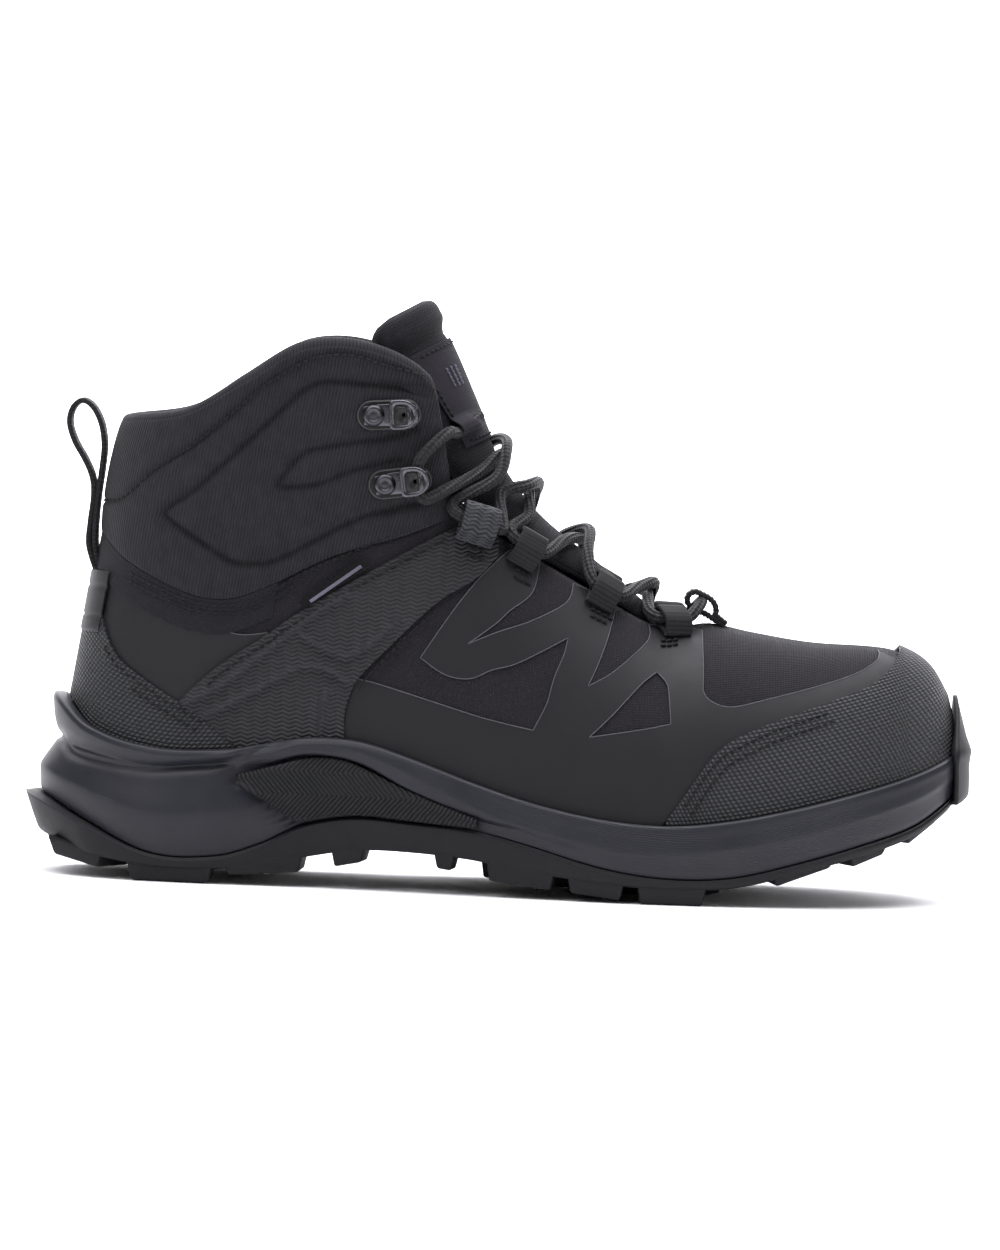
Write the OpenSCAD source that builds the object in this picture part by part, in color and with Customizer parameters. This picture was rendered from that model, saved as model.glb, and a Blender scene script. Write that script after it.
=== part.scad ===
// A mid-height lace-up hiking boot for the right foot.
// +X points to the toe, +Z up, +Y to the inner (medial) side of the foot.
// The origin is on the ground, under the middle of the boot.

/* [Upper] */
// Thickness of the outer fabric of the vamp and the quarters
fabric_t = 2.0; // [1.6:0.1:2.2]
// Thickness of the rubberised overlays on toe, heel and midfoot
overlay_t = 1.1; // [0.8:0.1:1.3]
// Thickness of the lining
lining_t = 1.0; // [0.8:0.1:1.2]
// Thickness of the foam in the collar
collar_pad_t = 6.0; // [4:0.5:6.5]
// Thickness of the foam in the tongue
tongue_pad_t = 5.0; // [3.5:0.5:5.5]
// Gap left between pieces that are stitched or glued together
seam_gap = 0.3; // [0.2:0.05:0.4]

/* [Lacing] */
// Diameter of the round lace
lace_d = 3.8; // [3.2:0.1:3.9]
// Width of the webbing of a lace loop
webbing_w = 9.5; // [8:0.5:10.5]
// Thickness of the webbing
webbing_t = 0.9; // [0.7:0.1:1.1]
// Thickness of a hook's base plate
plate_t = 1.0; // [0.8:0.1:1.2]
// Radius of a rivet's head
rivet_r = 3.3; // [2.8:0.1:3.6]
// Thickness of the wire of a hook
hook_wire = 1.9; // [1.5:0.1:2.1]

/* [Sole] */
// Thickness of the removable footbed
footbed_t = 4.5; // [3:0.5:5]
// Thickness of the board that closes the upper underneath
board_t = 2.0; // [1.5:0.1:2.2]
// Width of the steel shank
shank_w = 15; // [10:1:20]
// How far the lugs taper on each side towards the ground
lug_draft = 1.2; // [0.6:0.1:1.6]

/* [Pull tab] */
// Width of the pull tab's webbing
pull_tab_w = 15; // [12:1:17]
// Thickness of the pull tab's webbing
pull_tab_t = 1.4; // [1.1:0.1:1.6]

/* [Hidden] */
LATERAL = -1;
MEDIAL = 1;
HEEL_X = -141;
TOE_X = 149;
HEEL_ROUND = 40;
TOE_ROUND = 60;

// Outline of the upper where it meets the sole: x, lateral edge y, medial edge y.
PLAN = [
    [-141, -33, 33], [-100, -34.5, 34.5], [-60, -36, 34], [-25, -41, 35], [10, -46, 40],
    [40, -49, 46], [70, -47, 50], [100, -42, 51], [130, -36, 50], [149, -30, 48],
];
// Height of that line above the ground.
FEATHER = [
    [-141, 46], [-123, 38], [-98, 36], [-80, 38], [-60, 41.5], [-47, 42], [-29, 37], [2, 27],
    [30, 20.5], [46, 19.5], [68, 21.5], [102, 28], [135, 39], [149, 45],
];
// Top line that each section of the upper runs up to, by its foot's x: x and z of the top,
// half width there, roundness of the section, bulge at mid height, y of the middle.
TOP = [
    [-141, -126, 148, 36, 1.6, 1.0, 0], [-122, -105, 151.5, 36, 1.6, 0.4, 0],
    [-104, -86, 163, 36, 1.6, -1.2, 0], [-86, -67, 174.5, 35, 1.6, -2.2, 0],
    [-68, -46, 174.5, 33, 1.6, -2.4, 0], [-52, -27, 165, 30, 1.6, -2, 0],
    [-44, -23, 152, 29, 1.6, -1.6, 0], [-36, -20.5, 138, 28.5, 1.6, -1, 0],
    [-26, -18, 121.5, 28, 1.7, -0.6, 0], [-10, -9, 117, 26.5, 1.8, 0, 0],
    [2, 2, 111.5, 24, 1.9, 0, 0.3], [26, 26, 98.5, 20, 2, 0, 1], [49, 49, 87, 15.5, 2.1, 0, 2],
    [60, 60, 87, 9.5, 2.2, 0, 2.6], [66, 66, 88.2, 0, 2.2, 0, 3], [80, 80, 85.8, 0, 2.2, 0, 4],
    [100, 99, 83.2, 0, 2.2, 0, 6], [125, 123, 82.2, 0, 2.2, 0, 8], [136, 132, 79.5, 0, 2.2, 0, 8.6],
    [143, 138, 75, 0, 2.2, 0, 9], [149, 143, 67, 0, 2.2, 0, 9],
];
RIDGE_X = 66;
// Seam between the quarter and the padded collar, by the section's foot: x, z.
BAND_SEAM = [
    [-141, 110], [-131, 101.5], [-111, 92.5], [-97, 91], [-84, 96], [-67, 106], [-45, 114.5],
    [-26, 121],
];
// Sole, by the foot of the upper's section. Heights of the rim, the waist line, the top of
// the rubber and its underside between lugs, then how far the lip, the waist line, the wall
// under it, the belly, the lower edge and the rubber stand out from the upper.
SOLE = [
    [-141, 58, 43, 26, 13, 5, 2.7, 3.4, 8.3, 8.0, 12.6],
    [-131, 48.5, 40, 19, 8.4, 4.6, 2.6, 3.2, 7, 5.6, 8.5],
    [-111, 43, 36.5, 9, 4.6, 4.5, 2.9, 3.6, 6.4, 4, 5.4],
    [-90, 43.2, 38, 8.8, 4.6, 4.4, 2.8, 3.4, 6, 3.6, 4.8],
    [-76, 45.5, 38.5, 13.2, 6.4, 4.2, 3.6, 2.2, 3.8, 2.6, 3.8],
    [-62, 48.2, 42.4, 20, 9.6, 4.1, 4, 1.1, 1.4, 1.4, 3.4],
    [-45, 47.8, 40.6, 23.2, 12.6, 4.1, 4, 1.0, 1.2, 1.2, 3.2],
    [-28, 43, 32.6, 22.4, 12.8, 4.2, 4.1, 1.1, 1.3, 1.3, 3.4],
    [-8, 36.2, 25.6, 21, 11.4, 4.3, 4.3, 2.2, 2.4, 2.6, 3.8],
    [12, 30.4, 22, 16.4, 8.2, 4.5, 4.8, 4, 3.8, 3.4, 4.2],
    [35, 26.2, 17.5, 10.4, 5.6, 4.6, 5.2, 5.2, 4.6, 3.8, 4.6],
    [55, 25.2, 16.5, 8, 4.6, 4.6, 5.4, 5.4, 4.8, 3.8, 4.6],
    [75, 27.6, 18.5, 9, 5.6, 4.5, 5.4, 5.3, 4.6, 3.6, 4.4],
    [95, 32, 23, 14, 10.4, 4.4, 5.1, 5, 4.4, 3.4, 4.2],
    [115, 37.6, 29, 20.2, 16.4, 4.2, 4.8, 4.6, 4.2, 3.2, 4],
    [132, 43, 35, 26.4, 22.6, 3.6, 4, 3.8, 3.4, 2.8, 3.4],
    [143, 47.6, 41, 34, 30, 3, 3.2, 3, 2.6, 2.2, 2.8],
    [149, 51, 45.4, 40, 36, 2, 2.2, 2, 1.6, 1.2, 1.8],
];
RIM = 1;
WAIST = 2;
RUBBER_TOP = 3;
RUBBER_UNDER = 4;
// Spine of the tongue from under the vamp to its top edge: place along it, x and z of the
// outer face, half width, how far its sides lie back.
TONGUE = [
    [0, 71, 77.5, 9, 1.5], [0.1, 60, 81, 10, 2.5], [0.2, 50, 90.5, 11.5, 3.5],
    [0.35, 30, 106, 14, 5], [0.5, 9, 122, 16.5, 8], [0.62, -3.5, 138, 18, 11],
    [0.75, -12, 156, 18.5, 15], [0.88, -20.5, 174, 20, 20], [1, -29.5, 190, 22, 24],
];
TONGUE_SPLIT = 0.76;
// Places of the hooks' rivets on the collar: x, z, distance from the middle, tilt.
HOOKS = [[-45, 152, 34.4, 4], [-40.5, 130, 33.9, 9]];
HOOK_NAMES = ["upper", "lower"];
// Feet of the sections that carry the lace loops, from the toe to the ankle.
LOOPS = [53, 30, 5];
LOOP_OFF = 0.9;
STRAP_LOOP = -13;
STRAP_LOOP_W = 12;
STRAP_LOOP_OFF = 2;
PULL_TAB = [
    [-134.6, 103.5], [-136.6, 112], [-139.8, 124], [-143.2, 138], [-143.6, 147],
    [-140.6, 152.2], [-136.6, 151.6], [-134.4, 146], [-134.6, 134], [-135.6, 122],
    [-136.2, 113],
];

// ---- Curves and surfaces ----

function lerp(a, b, t) = a + (b - a) * t;
function clamp(v, lo, hi) = min(hi, max(lo, v));
function smooth(v) = let (c = clamp(v, 0, 1)) c * c * (3 - 2 * c);
// 1 inside the span from a to b, falling to 0 over the distance soft beyond it.
function window(v, a, b, soft) = smooth((v - a + soft) / soft) * smooth((b + soft - v) / soft);

// Smooth curve through rows whose first value is the key.
function row_of(rows, k, i = 0) =
    i >= len(rows) - 2 || k <= rows[i + 1][0] ? i : row_of(rows, k, i + 1);
function slope(rows, i) =
    let (a = max(i - 1, 0), b = min(i + 1, len(rows) - 1))
    (rows[b] - rows[a]) / (rows[b][0] - rows[a][0]);
function curve(rows, k) =
    let (i = row_of(rows, k), h = rows[i + 1][0] - rows[i][0],
         t = clamp((k - rows[i][0]) / h, 0, 1), t2 = t * t, t3 = t2 * t)
    rows[i] * (2 * t3 - 3 * t2 + 1) + slope(rows, i) * h * (t3 - 2 * t2 + t)
    + rows[i + 1] * (3 * t2 - 2 * t3) + slope(rows, i + 1) * h * (t3 - t2);

function round_end(q, p) = q >= 1 ? 1 : pow(1 - pow(1 - max(q, 0), p), 1 / p);
function taper(x) =
    round_end((x - HEEL_X) / HEEL_ROUND, 2) * round_end((TOE_X - x) / TOE_ROUND, 2.2);
// A section's place s runs from 0 at the heel to 1 at the toe.
function foot_x(s) = lerp(HEEL_X, TOE_X, (1 - cos(180 * s)) / 2);
function s_at(x) = acos(clamp(1 - 2 * (x - HEEL_X) / (TOE_X - HEEL_X), -1, 1)) / 180;

// The outer surface of the upper: s along the foot, t from the sole (0) to the top line (1).
function skin(side, s, t) =
    let (x = foot_x(s), plan = curve(PLAN, x), top = curve(TOP, x), foot_z = curve(FEATHER, x)[1],
         a = (plan[2] - plan[1]) / 2, b = x >= RIDGE_X ? 0 : max(0, top[3]), p = top[4],
         arch = pow(max(0, 1 - (1 - pow(b / a, p)) * pow(t, p)), 1 / p))
    [lerp(x, top[1], t),
     lerp((plan[1] + plan[2]) / 2, top[6], t) + side * taper(x) * (a * arch + top[5] * sin(180 * t)),
     lerp(foot_z, top[2], t)];
function unit(v) = v / norm(v);
function skin_normal(side, s, t) =
    let (e = 0.004, s0 = max(s - e, 0), s1 = min(s + e, 1), t0 = max(t - e, 0), t1 = min(t + e, 1))
    -side * unit(cross(skin(side, s1, t) - skin(side, s0, t), skin(side, s, t1) - skin(side, s, t0)));
function on_skin(side, s, t, off) = skin(side, s, t) + off * skin_normal(side, s, t);
function t_at(s, z) =
    let (x = foot_x(s), foot_z = curve(FEATHER, x)[1])
    (z - foot_z) / (curve(TOP, x)[2] - foot_z);
function rim_t(s, up = 0) = t_at(s, curve(SOLE, foot_x(s))[RIM] + up);
function board_t_at(s) = t_at(s, curve(FEATHER, foot_x(s))[1] + board_t + seam_gap);
function seam_t(s, up = 0) = t_at(s, curve(BAND_SEAM, foot_x(s))[1] + up);

// Solid between two grids of points of the same size. With zip, the last row of the middle
// columns is shared with the column mirrored about the middle one.
module slab(outer, inner, zip = -1) {
    n = len(outer);
    m = len(outer[0]);
    mid = (n - 1) / 2;
    function zipped(i) = abs(i - mid) <= zip;
    function id(k, i, j) = (k * n + (j == m - 1 && i > mid && zipped(i) ? 2 * mid - i : i)) * m + j;
    quads = concat(
        [for (i = [0:n - 2], j = [0:m - 2])
            [id(0, i, j), id(0, i, j + 1), id(0, i + 1, j + 1), id(0, i + 1, j)]],
        [for (i = [0:n - 2], j = [0:m - 2])
            [id(1, i, j), id(1, i + 1, j), id(1, i + 1, j + 1), id(1, i, j + 1)]],
        [for (i = [0:n - 2]) [id(0, i, 0), id(0, i + 1, 0), id(1, i + 1, 0), id(1, i, 0)]],
        [for (i = [0:n - 2]) if (!(zipped(i) && zipped(i + 1)))
            [id(0, i, m - 1), id(1, i, m - 1), id(1, i + 1, m - 1), id(0, i + 1, m - 1)]],
        [for (j = [0:m - 2]) [id(0, 0, j), id(1, 0, j), id(1, 0, j + 1), id(0, 0, j + 1)]],
        [for (j = [0:m - 2])
            [id(0, n - 1, j), id(0, n - 1, j + 1), id(1, n - 1, j + 1), id(1, n - 1, j)]]);
    polyhedron([for (grid = [outer, inner], column = grid) each column],
               [for (q = quads) each [[q[0], q[1], q[2]], [q[0], q[2], q[3]]]], convexity = 8);
}

// Columns of a panel: side, place along the foot, lowest t and highest t.
function side_name(side) = side == LATERAL ? "lateral" : "medial";
function side_columns(side, s0, s1, n, low, high) =
    [for (i = [0:n]) let (s = lerp(s0, s1, i / n)) [side, s, low(s), high(s)]];
function reversed(list) = [for (i = [len(list) - 1:-1:0]) list[i]];
function tail(list) = [for (i = [1:len(list) - 1]) list[i]];
// Both sides, joined round the heel (s0 = 0) or round the toe (s0 = 1).
function wrap_columns(s0, s1, n, low, high) =
    concat(reversed(side_columns(s0 > 0.5 ? LATERAL : MEDIAL, s0, s1, n, low, high)),
           tail(side_columns(s0 > 0.5 ? MEDIAL : LATERAL, s0, s1, n, low, high)));

// A panel on the upper, from offset lo to offset hi, each a function of place and height.
module panel(columns, rows, lo, hi, round_top = 0, zip = -1) {
    function share(j) = lerp(j / rows, sin(90 * j / rows), round_top);
    function grid(off) =
        [for (c = columns) [for (j = [0:rows])
            on_skin(c[0], c[1], lerp(c[2], c[3], share(j)), off(c[1], j / rows))]];
    flip = columns[0][0] * (columns[0][1] < columns[1][1] ? 1 : -1);
    if (flip < 0) slab(grid(hi), grid(lo), zip);
    else slab(grid(lo), grid(hi), zip);
}

// A closed ring round the sole: heel, lateral side, toe, medial side.
RING = 26;
function plan_point(side, s) = let (p = skin(side, s, 0)) [p[0], p[1], 0];
function plan_normal(side, s) =
    let (e = 0.004, d = plan_point(side, min(s + e, 1)) - plan_point(side, max(s - e, 0)))
    -side * unit(cross(d, [0, 0, 1]));
function ring(off, z) =
    [for (k = [0:2 * RING - 1])
        let (side = k <= RING ? LATERAL : MEDIAL, s = (k <= RING ? k : 2 * RING - k) / RING,
             p = plan_point(side, s) + off(s) * plan_normal(side, s))
        [p[0], p[1], z(s)]];
module stacked(rings) {
    n = len(rings[0]);
    last = len(rings) - 1;
    walls = [for (r = [0:last - 1], k = [0:n - 1]) let (a = r * n + k, b = r * n + (k + 1) % n)
        each [[a, a + n, b + n], [a, b + n, b]]];
    function cap(base, flip) =
        [for (k = [0:n / 2 - 1]) let (a = base + k, b = base + k + 1, c = base + n - k - 1,
             d = base + (n - k) % n, t1 = [a, b, c], t2 = [a, c, d])
            each [if (b != c) flip ? reversed(t1) : t1, if (a != d) flip ? reversed(t2) : t2]];
    polyhedron([for (r = rings) each r], concat(walls, cap(0, false), cap(last * n, true)),
               convexity = 8);
}

function sole(s, i) = curve(SOLE, foot_x(s))[i];

// ---- Sole ----

// Corners of a lug's top or foot: x0 to x1 along the edge, from inset a to inset b.
function lug_corners(side, x0, x1, a, b, z0, z1) =
    [for (c = [[x0, a, z0], [x1, a, z1], [x1, b, z1], [x0, b, z0]])
        let (s = s_at(c[0]), p = plan_point(side, s) + (sole(s, 10) - c[1]) * plan_normal(side, s))
        [p[0], p[1], c[2]]];
module block(top, foot)
    hull() polyhedron(concat(top, foot), [[0, 1, 2, 3], [7, 6, 5, 4], [0, 4, 5, 1], [1, 5, 6, 2],
                                          [2, 6, 7, 3], [3, 7, 4, 0]]);
module edge_lug(side, x0, x1, z0, z1, depth, d = lug_draft)
    block(lug_corners(side, x0, x1, 0.6, depth, sole(s_at(x0), RUBBER_UNDER) + 1.5,
                      sole(s_at(x1), RUBBER_UNDER) + 1.5),
          lug_corners(side, x0 + d, x1 - d, 0.8 + d / 2, depth - d, z0, z1));
// An arrow-shaped lug in the middle of the tread.
module chevron(x, y, z, w, long, d = lug_draft) {
    top_z = sole(s_at(x), RUBBER_UNDER) + 1.5;
    for (side = [-1, 1])
        block([[x, y, top_z], [x + long, y, top_z], [x + long - w / 2, y + side * w, top_z],
               [x - w / 2, y + side * w, top_z]],
              [[x + d, y, z], [x + long - d, y, z],
               [x + long - w / 2 - d, y + side * (w - d), z],
               [x - w / 2 + d, y + side * (w - d), z]]);
}
EDGE_LUGS = [
    [-137, -124, 6.2, 3.2, 20], [-117, -91, 0, 0, 24], [-87, -62, 3, 4.6, 21], [-53, -42, 7, 8.8, 15],
    [-20, -13, 8.2, 7.6, 13], [-3, 19, 5, 3, 19], [23, 41, 2.6, 0.8, 22], [45, 67, 0, 0, 25],
    [88, 107, 6.8, 13, 21], [112, 124, 13.4, 17.4, 14], [130, 141, 20.6, 27, 7],
];
CHEVRONS = [
    [-104, 0, 0, 12, 12], [-80, 0, 2.2, 11, 10], [2, -2, 3.6, 15, 10], [22, -1, 1.6, 16, 11],
    [44, 1, 0, 17, 11], [64, 3, 0, 16, 10], [84, 5, 4.8, 15, 10], [104, 7, 10.8, 13, 9],
];

// Strip of rubber that comes up over the tip of the toe from the tread.
module toe_bumper() {
    function rise(q) = lerp(67.6, 50, pow(abs(q), 1.6));
    function front(q, z, off) =
        let (side = q < 0 ? LATERAL : MEDIAL, s = 1 - 0.085 * abs(q),
             lean = 3.2 * smooth((z - 54) / 16), p = plan_point(side, s),
             out = off - lean + sole(s, 5) * smooth((60 - z) / 20))
        p + out * plan_normal(side, s) + [0, 0, z];
    function grid(off) = [for (q = [-1:0.125:1]) [for (j = [0:7])
        front(q, lerp(33 + 4 * (1 - abs(q)), rise(q), j / 7), off(j))]];
    slab(grid(function (j) 3), grid(function (j) j == 0 ? -1.8 : 0.8));
}

module outsole() color([0.17, 0.17, 0.18]) union() {
    stacked([
        ring(function (s) sole(s, 10) - 3.4 - 3 * smooth((-126 - foot_x(s)) / 12),
             function (s) sole(s, RUBBER_UNDER)),
        ring(function (s) sole(s, 10) - 0.6 - 3.4 * smooth((-126 - foot_x(s)) / 12),
             function (s) sole(s, RUBBER_UNDER) + 0.8),
        ring(function (s) sole(s, 10), function (s) sole(s, RUBBER_TOP) - 1.4),
        ring(function (s) sole(s, 9) + 0.6, function (s) sole(s, RUBBER_TOP))]);
    for (side = [LATERAL, MEDIAL], g = EDGE_LUGS) edge_lug(side, g[0], g[1], g[2], g[3], g[4]);
    for (c = CHEVRONS) chevron(c[0], c[1], c[2], c[3], c[4]);
    // Under the back of the heel, sloping up to its flare.
    block([[-134, -17, 12], [-149, -8, 17], [-149, 8, 17], [-134, 17, 12]],
          [[-133, -15, 4.6], [-145, -8, 10], [-145, 8, 10], [-133, 15, 4.6]]);
    toe_bumper();
}

module midsole() color([0.2, 0.21, 0.25]) {
    floor_drop = function (s) seam_gap + 2.2 * window(foot_x(s), -84, 12, 6);
    inner_rim = [for (k = [0:2 * RING - 1])
        let (side = k <= RING ? LATERAL : MEDIAL, s = (k <= RING ? k : 2 * RING - k) / RING)
        on_skin(side, s, rim_t(s), seam_gap)];
    level = function (a, b, share) function (s) lerp(sole(s, a), sole(s, b), share);
    stacked([
        ring(function (s) sole(s, 9) - 1.6, function (s) sole(s, RUBBER_TOP) + 0.2),
        ring(function (s) sole(s, 9), level(RUBBER_TOP, WAIST, 0.08)),
        ring(function (s) lerp(sole(s, 9), sole(s, 8), 0.7), level(RUBBER_TOP, WAIST, 0.25)),
        ring(function (s) sole(s, 8), level(RUBBER_TOP, WAIST, 0.5)),
        ring(function (s) lerp(sole(s, 8), sole(s, 7), 0.6), level(RUBBER_TOP, WAIST, 0.78)),
        ring(function (s) sole(s, 7), function (s) sole(s, WAIST) - 0.8),
        ring(function (s) sole(s, 6), function (s) sole(s, WAIST) + 0.4),
        ring(function (s) lerp(sole(s, 6), sole(s, 5), 0.7), level(WAIST, RIM, 0.45)),
        ring(function (s) sole(s, 5), function (s) sole(s, RIM) - 1.8),
        ring(function (s) sole(s, 5) - 0.9, function (s) sole(s, RIM)),
        inner_rim,
        ring(function (s) seam_gap, function (s) curve(FEATHER, foot_x(s))[1] - floor_drop(s)),
    ]);
}

// The chevron-textured insert in the side of the arch, its faces this far from the wall.
PLATE_IN = 1.4;
PLATE_OUT = 2.5;
module arch_plate(side) {
    low = [[-84, 33.6], [-73, 26.6], [-64, 21.4], [-56, 23.2], [-45, 24.4], [-25, 23.4], [-6, 22.6]];
    high = [[-84, 34.6], [-73, 38.2], [-62, 41.2], [-53, 41.6], [-45, 39.6], [-28, 31.8], [-6, 23.6]];
    n = 16;
    function grid(off) = [for (i = [0:n]) let (x = lerp(-84, -6, i / n), s = s_at(x))
        [for (j = [0:4])
            let (p = plan_point(side, s)
                     + (off + max(sole(s, 7), sole(s, 8))) * plan_normal(side, s))
            [p[0], p[1], lerp(curve(low, x)[1], curve(high, x)[1], j / 4)]]];
    color([0.18, 0.18, 0.19]) if (side == LATERAL) slab(grid(PLATE_OUT), grid(PLATE_IN));
    else slab(grid(PLATE_IN), grid(PLATE_OUT));
}
module arch_plate_lateral() arch_plate(LATERAL);
module arch_plate_medial() arch_plate(MEDIAL);

// A strip lying on the line of the board, from x0 to x1.
module shank() {
    function grid(drop) = [for (i = [0:12]) let (x = lerp(-80, 8, i / 12))
        [for (y = [-1, 0, 1])
            [x, y * shank_w / 2, curve(FEATHER, x)[1] - seam_gap - drop + 0.5 * (1 - y * y)]]];
    color([0.6, 0.6, 0.62]) slab(grid(0.6), grid(1.6));
}

module insole_board() color([0.75, 0.68, 0.55])
    stacked([
        ring(function (s) -0.3, function (s) curve(FEATHER, foot_x(s))[1]),
        ring(function (s) -0.3, function (s) curve(FEATHER, foot_x(s))[1] + board_t)]);

// Cupped at the heel and under the arch.
module footbed() {
    inside = function (s) fabric_t + lining_t + 3.4 + 2 * smooth((-100 - foot_x(s)) / 30);
    base = function (s) curve(FEATHER, foot_x(s))[1] + board_t + 0.4;
    function cup(s) = 5 * smooth((-40 - foot_x(s)) / 50);
    color([0.25, 0.26, 0.28]) stacked([
        ring(function (s) -inside(s) - 1.4, base),
        ring(function (s) -inside(s) - 0.6, function (s) base(s) + 0.6 * footbed_t + cup(s)),
        ring(function (s) -inside(s) - 1.8, function (s) base(s) + footbed_t + cup(s)),
        ring(function (s) -inside(s) - 9, function (s) base(s) + footbed_t + 0.25 * cup(s)),
    ]);
}

// ---- Upper ----

// The vamp, the quarters and the collar meet under the straps.
THROAT_S = s_at(-28.5);
module vamp() color([0.2, 0.2, 0.21])
    panel(wrap_columns(1, THROAT_S, 20, function (s) board_t_at(s), function (s) 1), 11,
          function (s, v) -fabric_t, function (s, v) 0, 0.75,
          len([for (i = [0:20]) if (foot_x(lerp(1, THROAT_S, i / 20)) >= RIDGE_X) 1]) - 1);
module vamp_lining() color([0.14, 0.14, 0.15])
    panel(wrap_columns(1, THROAT_S, 18, function (s) board_t_at(s), function (s) 1), 9,
          function (s, v) -fabric_t - lining_t - 1.6 - seam_gap,
          function (s, v) -fabric_t - 1.6 - seam_gap, 0.75,
          len([for (i = [0:18]) if (foot_x(lerp(1, THROAT_S, i / 18)) >= RIDGE_X) 1]) - 1);
module toe_puff() color([0.7, 0.66, 0.6])
    panel(wrap_columns(1, s_at(104), 10, function (s) board_t_at(s), function (s) 1), 7,
          function (s, v) -fabric_t - 1.4, function (s, v) -fabric_t - seam_gap, 0.75, 10);

module quarter(side) color([0.22, 0.22, 0.24])
    panel(side_columns(side, s_at(-29.2), 0.02, 12, function (s) board_t_at(s),
                       function (s) seam_t(s, -0.4)), 6,
          function (s, v) -fabric_t, function (s, v) 0);
module quarter_lateral() quarter(LATERAL);
module quarter_medial() quarter(MEDIAL);

module heel_counter() color([0.7, 0.66, 0.6])
    panel(wrap_columns(0, s_at(-74), 8, function (s) board_t_at(s),
                       function (s) t_at(s, 84 - 14 * smooth((foot_x(s) + 110) / 36))), 4,
          function (s, v) -fabric_t - 1.7, function (s, v) -fabric_t - seam_gap);
module heel_lining() color([0.14, 0.14, 0.15])
    panel(wrap_columns(0, s_at(-29.5), 13, function (s) board_t_at(s),
                       function (s) seam_t(s, -0.6)), 5,
          function (s, v) -fabric_t - lining_t - 2,
          function (s, v) -fabric_t - 2);

// Overlays stand on the skin. Their lower edge sits on the rim of the sole.
OVERLAY_LO = seam_gap;
overlay_hi = function (s, v) OVERLAY_LO + overlay_t;
overlay_lo = function (s, v) OVERLAY_LO;
TOE_CAP_EDGE = [
    [54, 29], [60, 37], [68, 48], [75, 53], [86, 58], [104, 64.4], [119, 70], [127, 76], [133, 82],
];
// The cap lies over the turned-in fabric of the toe.
function toe_lift(s) = 1.5 * smooth((foot_x(s) - 100) / 22);
module toe_cap() color([0.18, 0.19, 0.19])
    panel(wrap_columns(1, s_at(56), 17, function (s) rim_t(s, 0.4),
                       function (s) foot_x(s) > 129 ? 1
                                    : min(1, t_at(s, curve(TOE_CAP_EDGE, foot_x(s))[1]))), 7,
          function (s, v) OVERLAY_LO + toe_lift(s),
          function (s, v) OVERLAY_LO + overlay_t + toe_lift(s), 0.6,
          len([for (i = [0:17]) if (foot_x(lerp(1, s_at(56), i / 17)) > 129) 1]) - 1);
HEEL_CAP_EDGE = [
    [-141, 98], [-138, 94], [-134, 80], [-127, 68], [-118, 60], [-108, 54.5], [-96, 49],
    [-84, 45.4],
];
module heel_cap() color([0.18, 0.19, 0.19])
    panel(wrap_columns(0, s_at(-88), 12, function (s) rim_t(s, 0.4),
                       function (s) t_at(s, curve(HEEL_CAP_EDGE, foot_x(s))[1])), 6,
          overlay_lo, overlay_hi);

// Thin glossy film on the flank of the forefoot.
FILM_EDGE = [
    [-24, 66], [-12, 74], [-2, 92], [8, 98], [22, 92], [32, 86], [46, 78], [54, 62], [64, 48],
    [72, 44],
];
module film_overlay(side) color([0.25, 0.25, 0.27])
    panel(side_columns(side, s_at(-22), s_at(52), 14, function (s) rim_t(s, 0.4),
                       function (s) t_at(s, curve(FILM_EDGE, foot_x(s))[1])), 10,
          overlay_lo, function (s, v) OVERLAY_LO + 0.4);
module film_overlay_lateral() film_overlay(LATERAL);
module film_overlay_medial() film_overlay(MEDIAL);

// Midfoot strap: it rises from the sole at the back of the arch to the lacing.
STRAP_HIGH = [[-106, 57], [-90, 71], [-77, 80], [-67, 87.5], [-52, 97], [-32, 109], [-17, 116.5],
              [-4, 113]];
STRAP_LOW = [[-106, 54], [-96, 48.5], [-84, 46.5], [-60, 50], [-50, 52], [-46, 68], [-33, 82],
             [-22, 93], [-11, 101], [-4, 106.5]];
module strap(side) color([0.19, 0.19, 0.2]) {
    s0 = s_at(-97);
    s1 = s_at(-4.5);
    shift = function (s) 9 * (1 - smooth((foot_x(s) + 60) / 50));
    cap_z = function (x) x < -87 ? curve(HEEL_CAP_EDGE, x)[1] + 0.8 : 0;
    low = function (s) max(rim_t(s, 0.4), t_at(s, cap_z(foot_x(s))),
                           t_at(s, curve(STRAP_LOW, foot_x(s) + shift(s))[1]));
    high = function (s) t_at(s, curve(STRAP_HIGH, foot_x(s) + shift(s))[1]);
    panel(side_columns(side, s0, s1, 18, low, high), 4,
          function (s, v) OVERLAY_LO, function (s, v) OVERLAY_LO + overlay_t + 0.3);
}
module strap_lateral() strap(LATERAL);
module strap_medial() strap(MEDIAL);

// The fabric band at the foot of the collar, round the heel.
module band() color([0.2, 0.2, 0.21])
    panel(wrap_columns(0, s_at(-80), 11, function (s) seam_t(s, -11), function (s) seam_t(s, -0.4)), 2,
          overlay_lo, function (s, v) OVERLAY_LO + 0.5);

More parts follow.
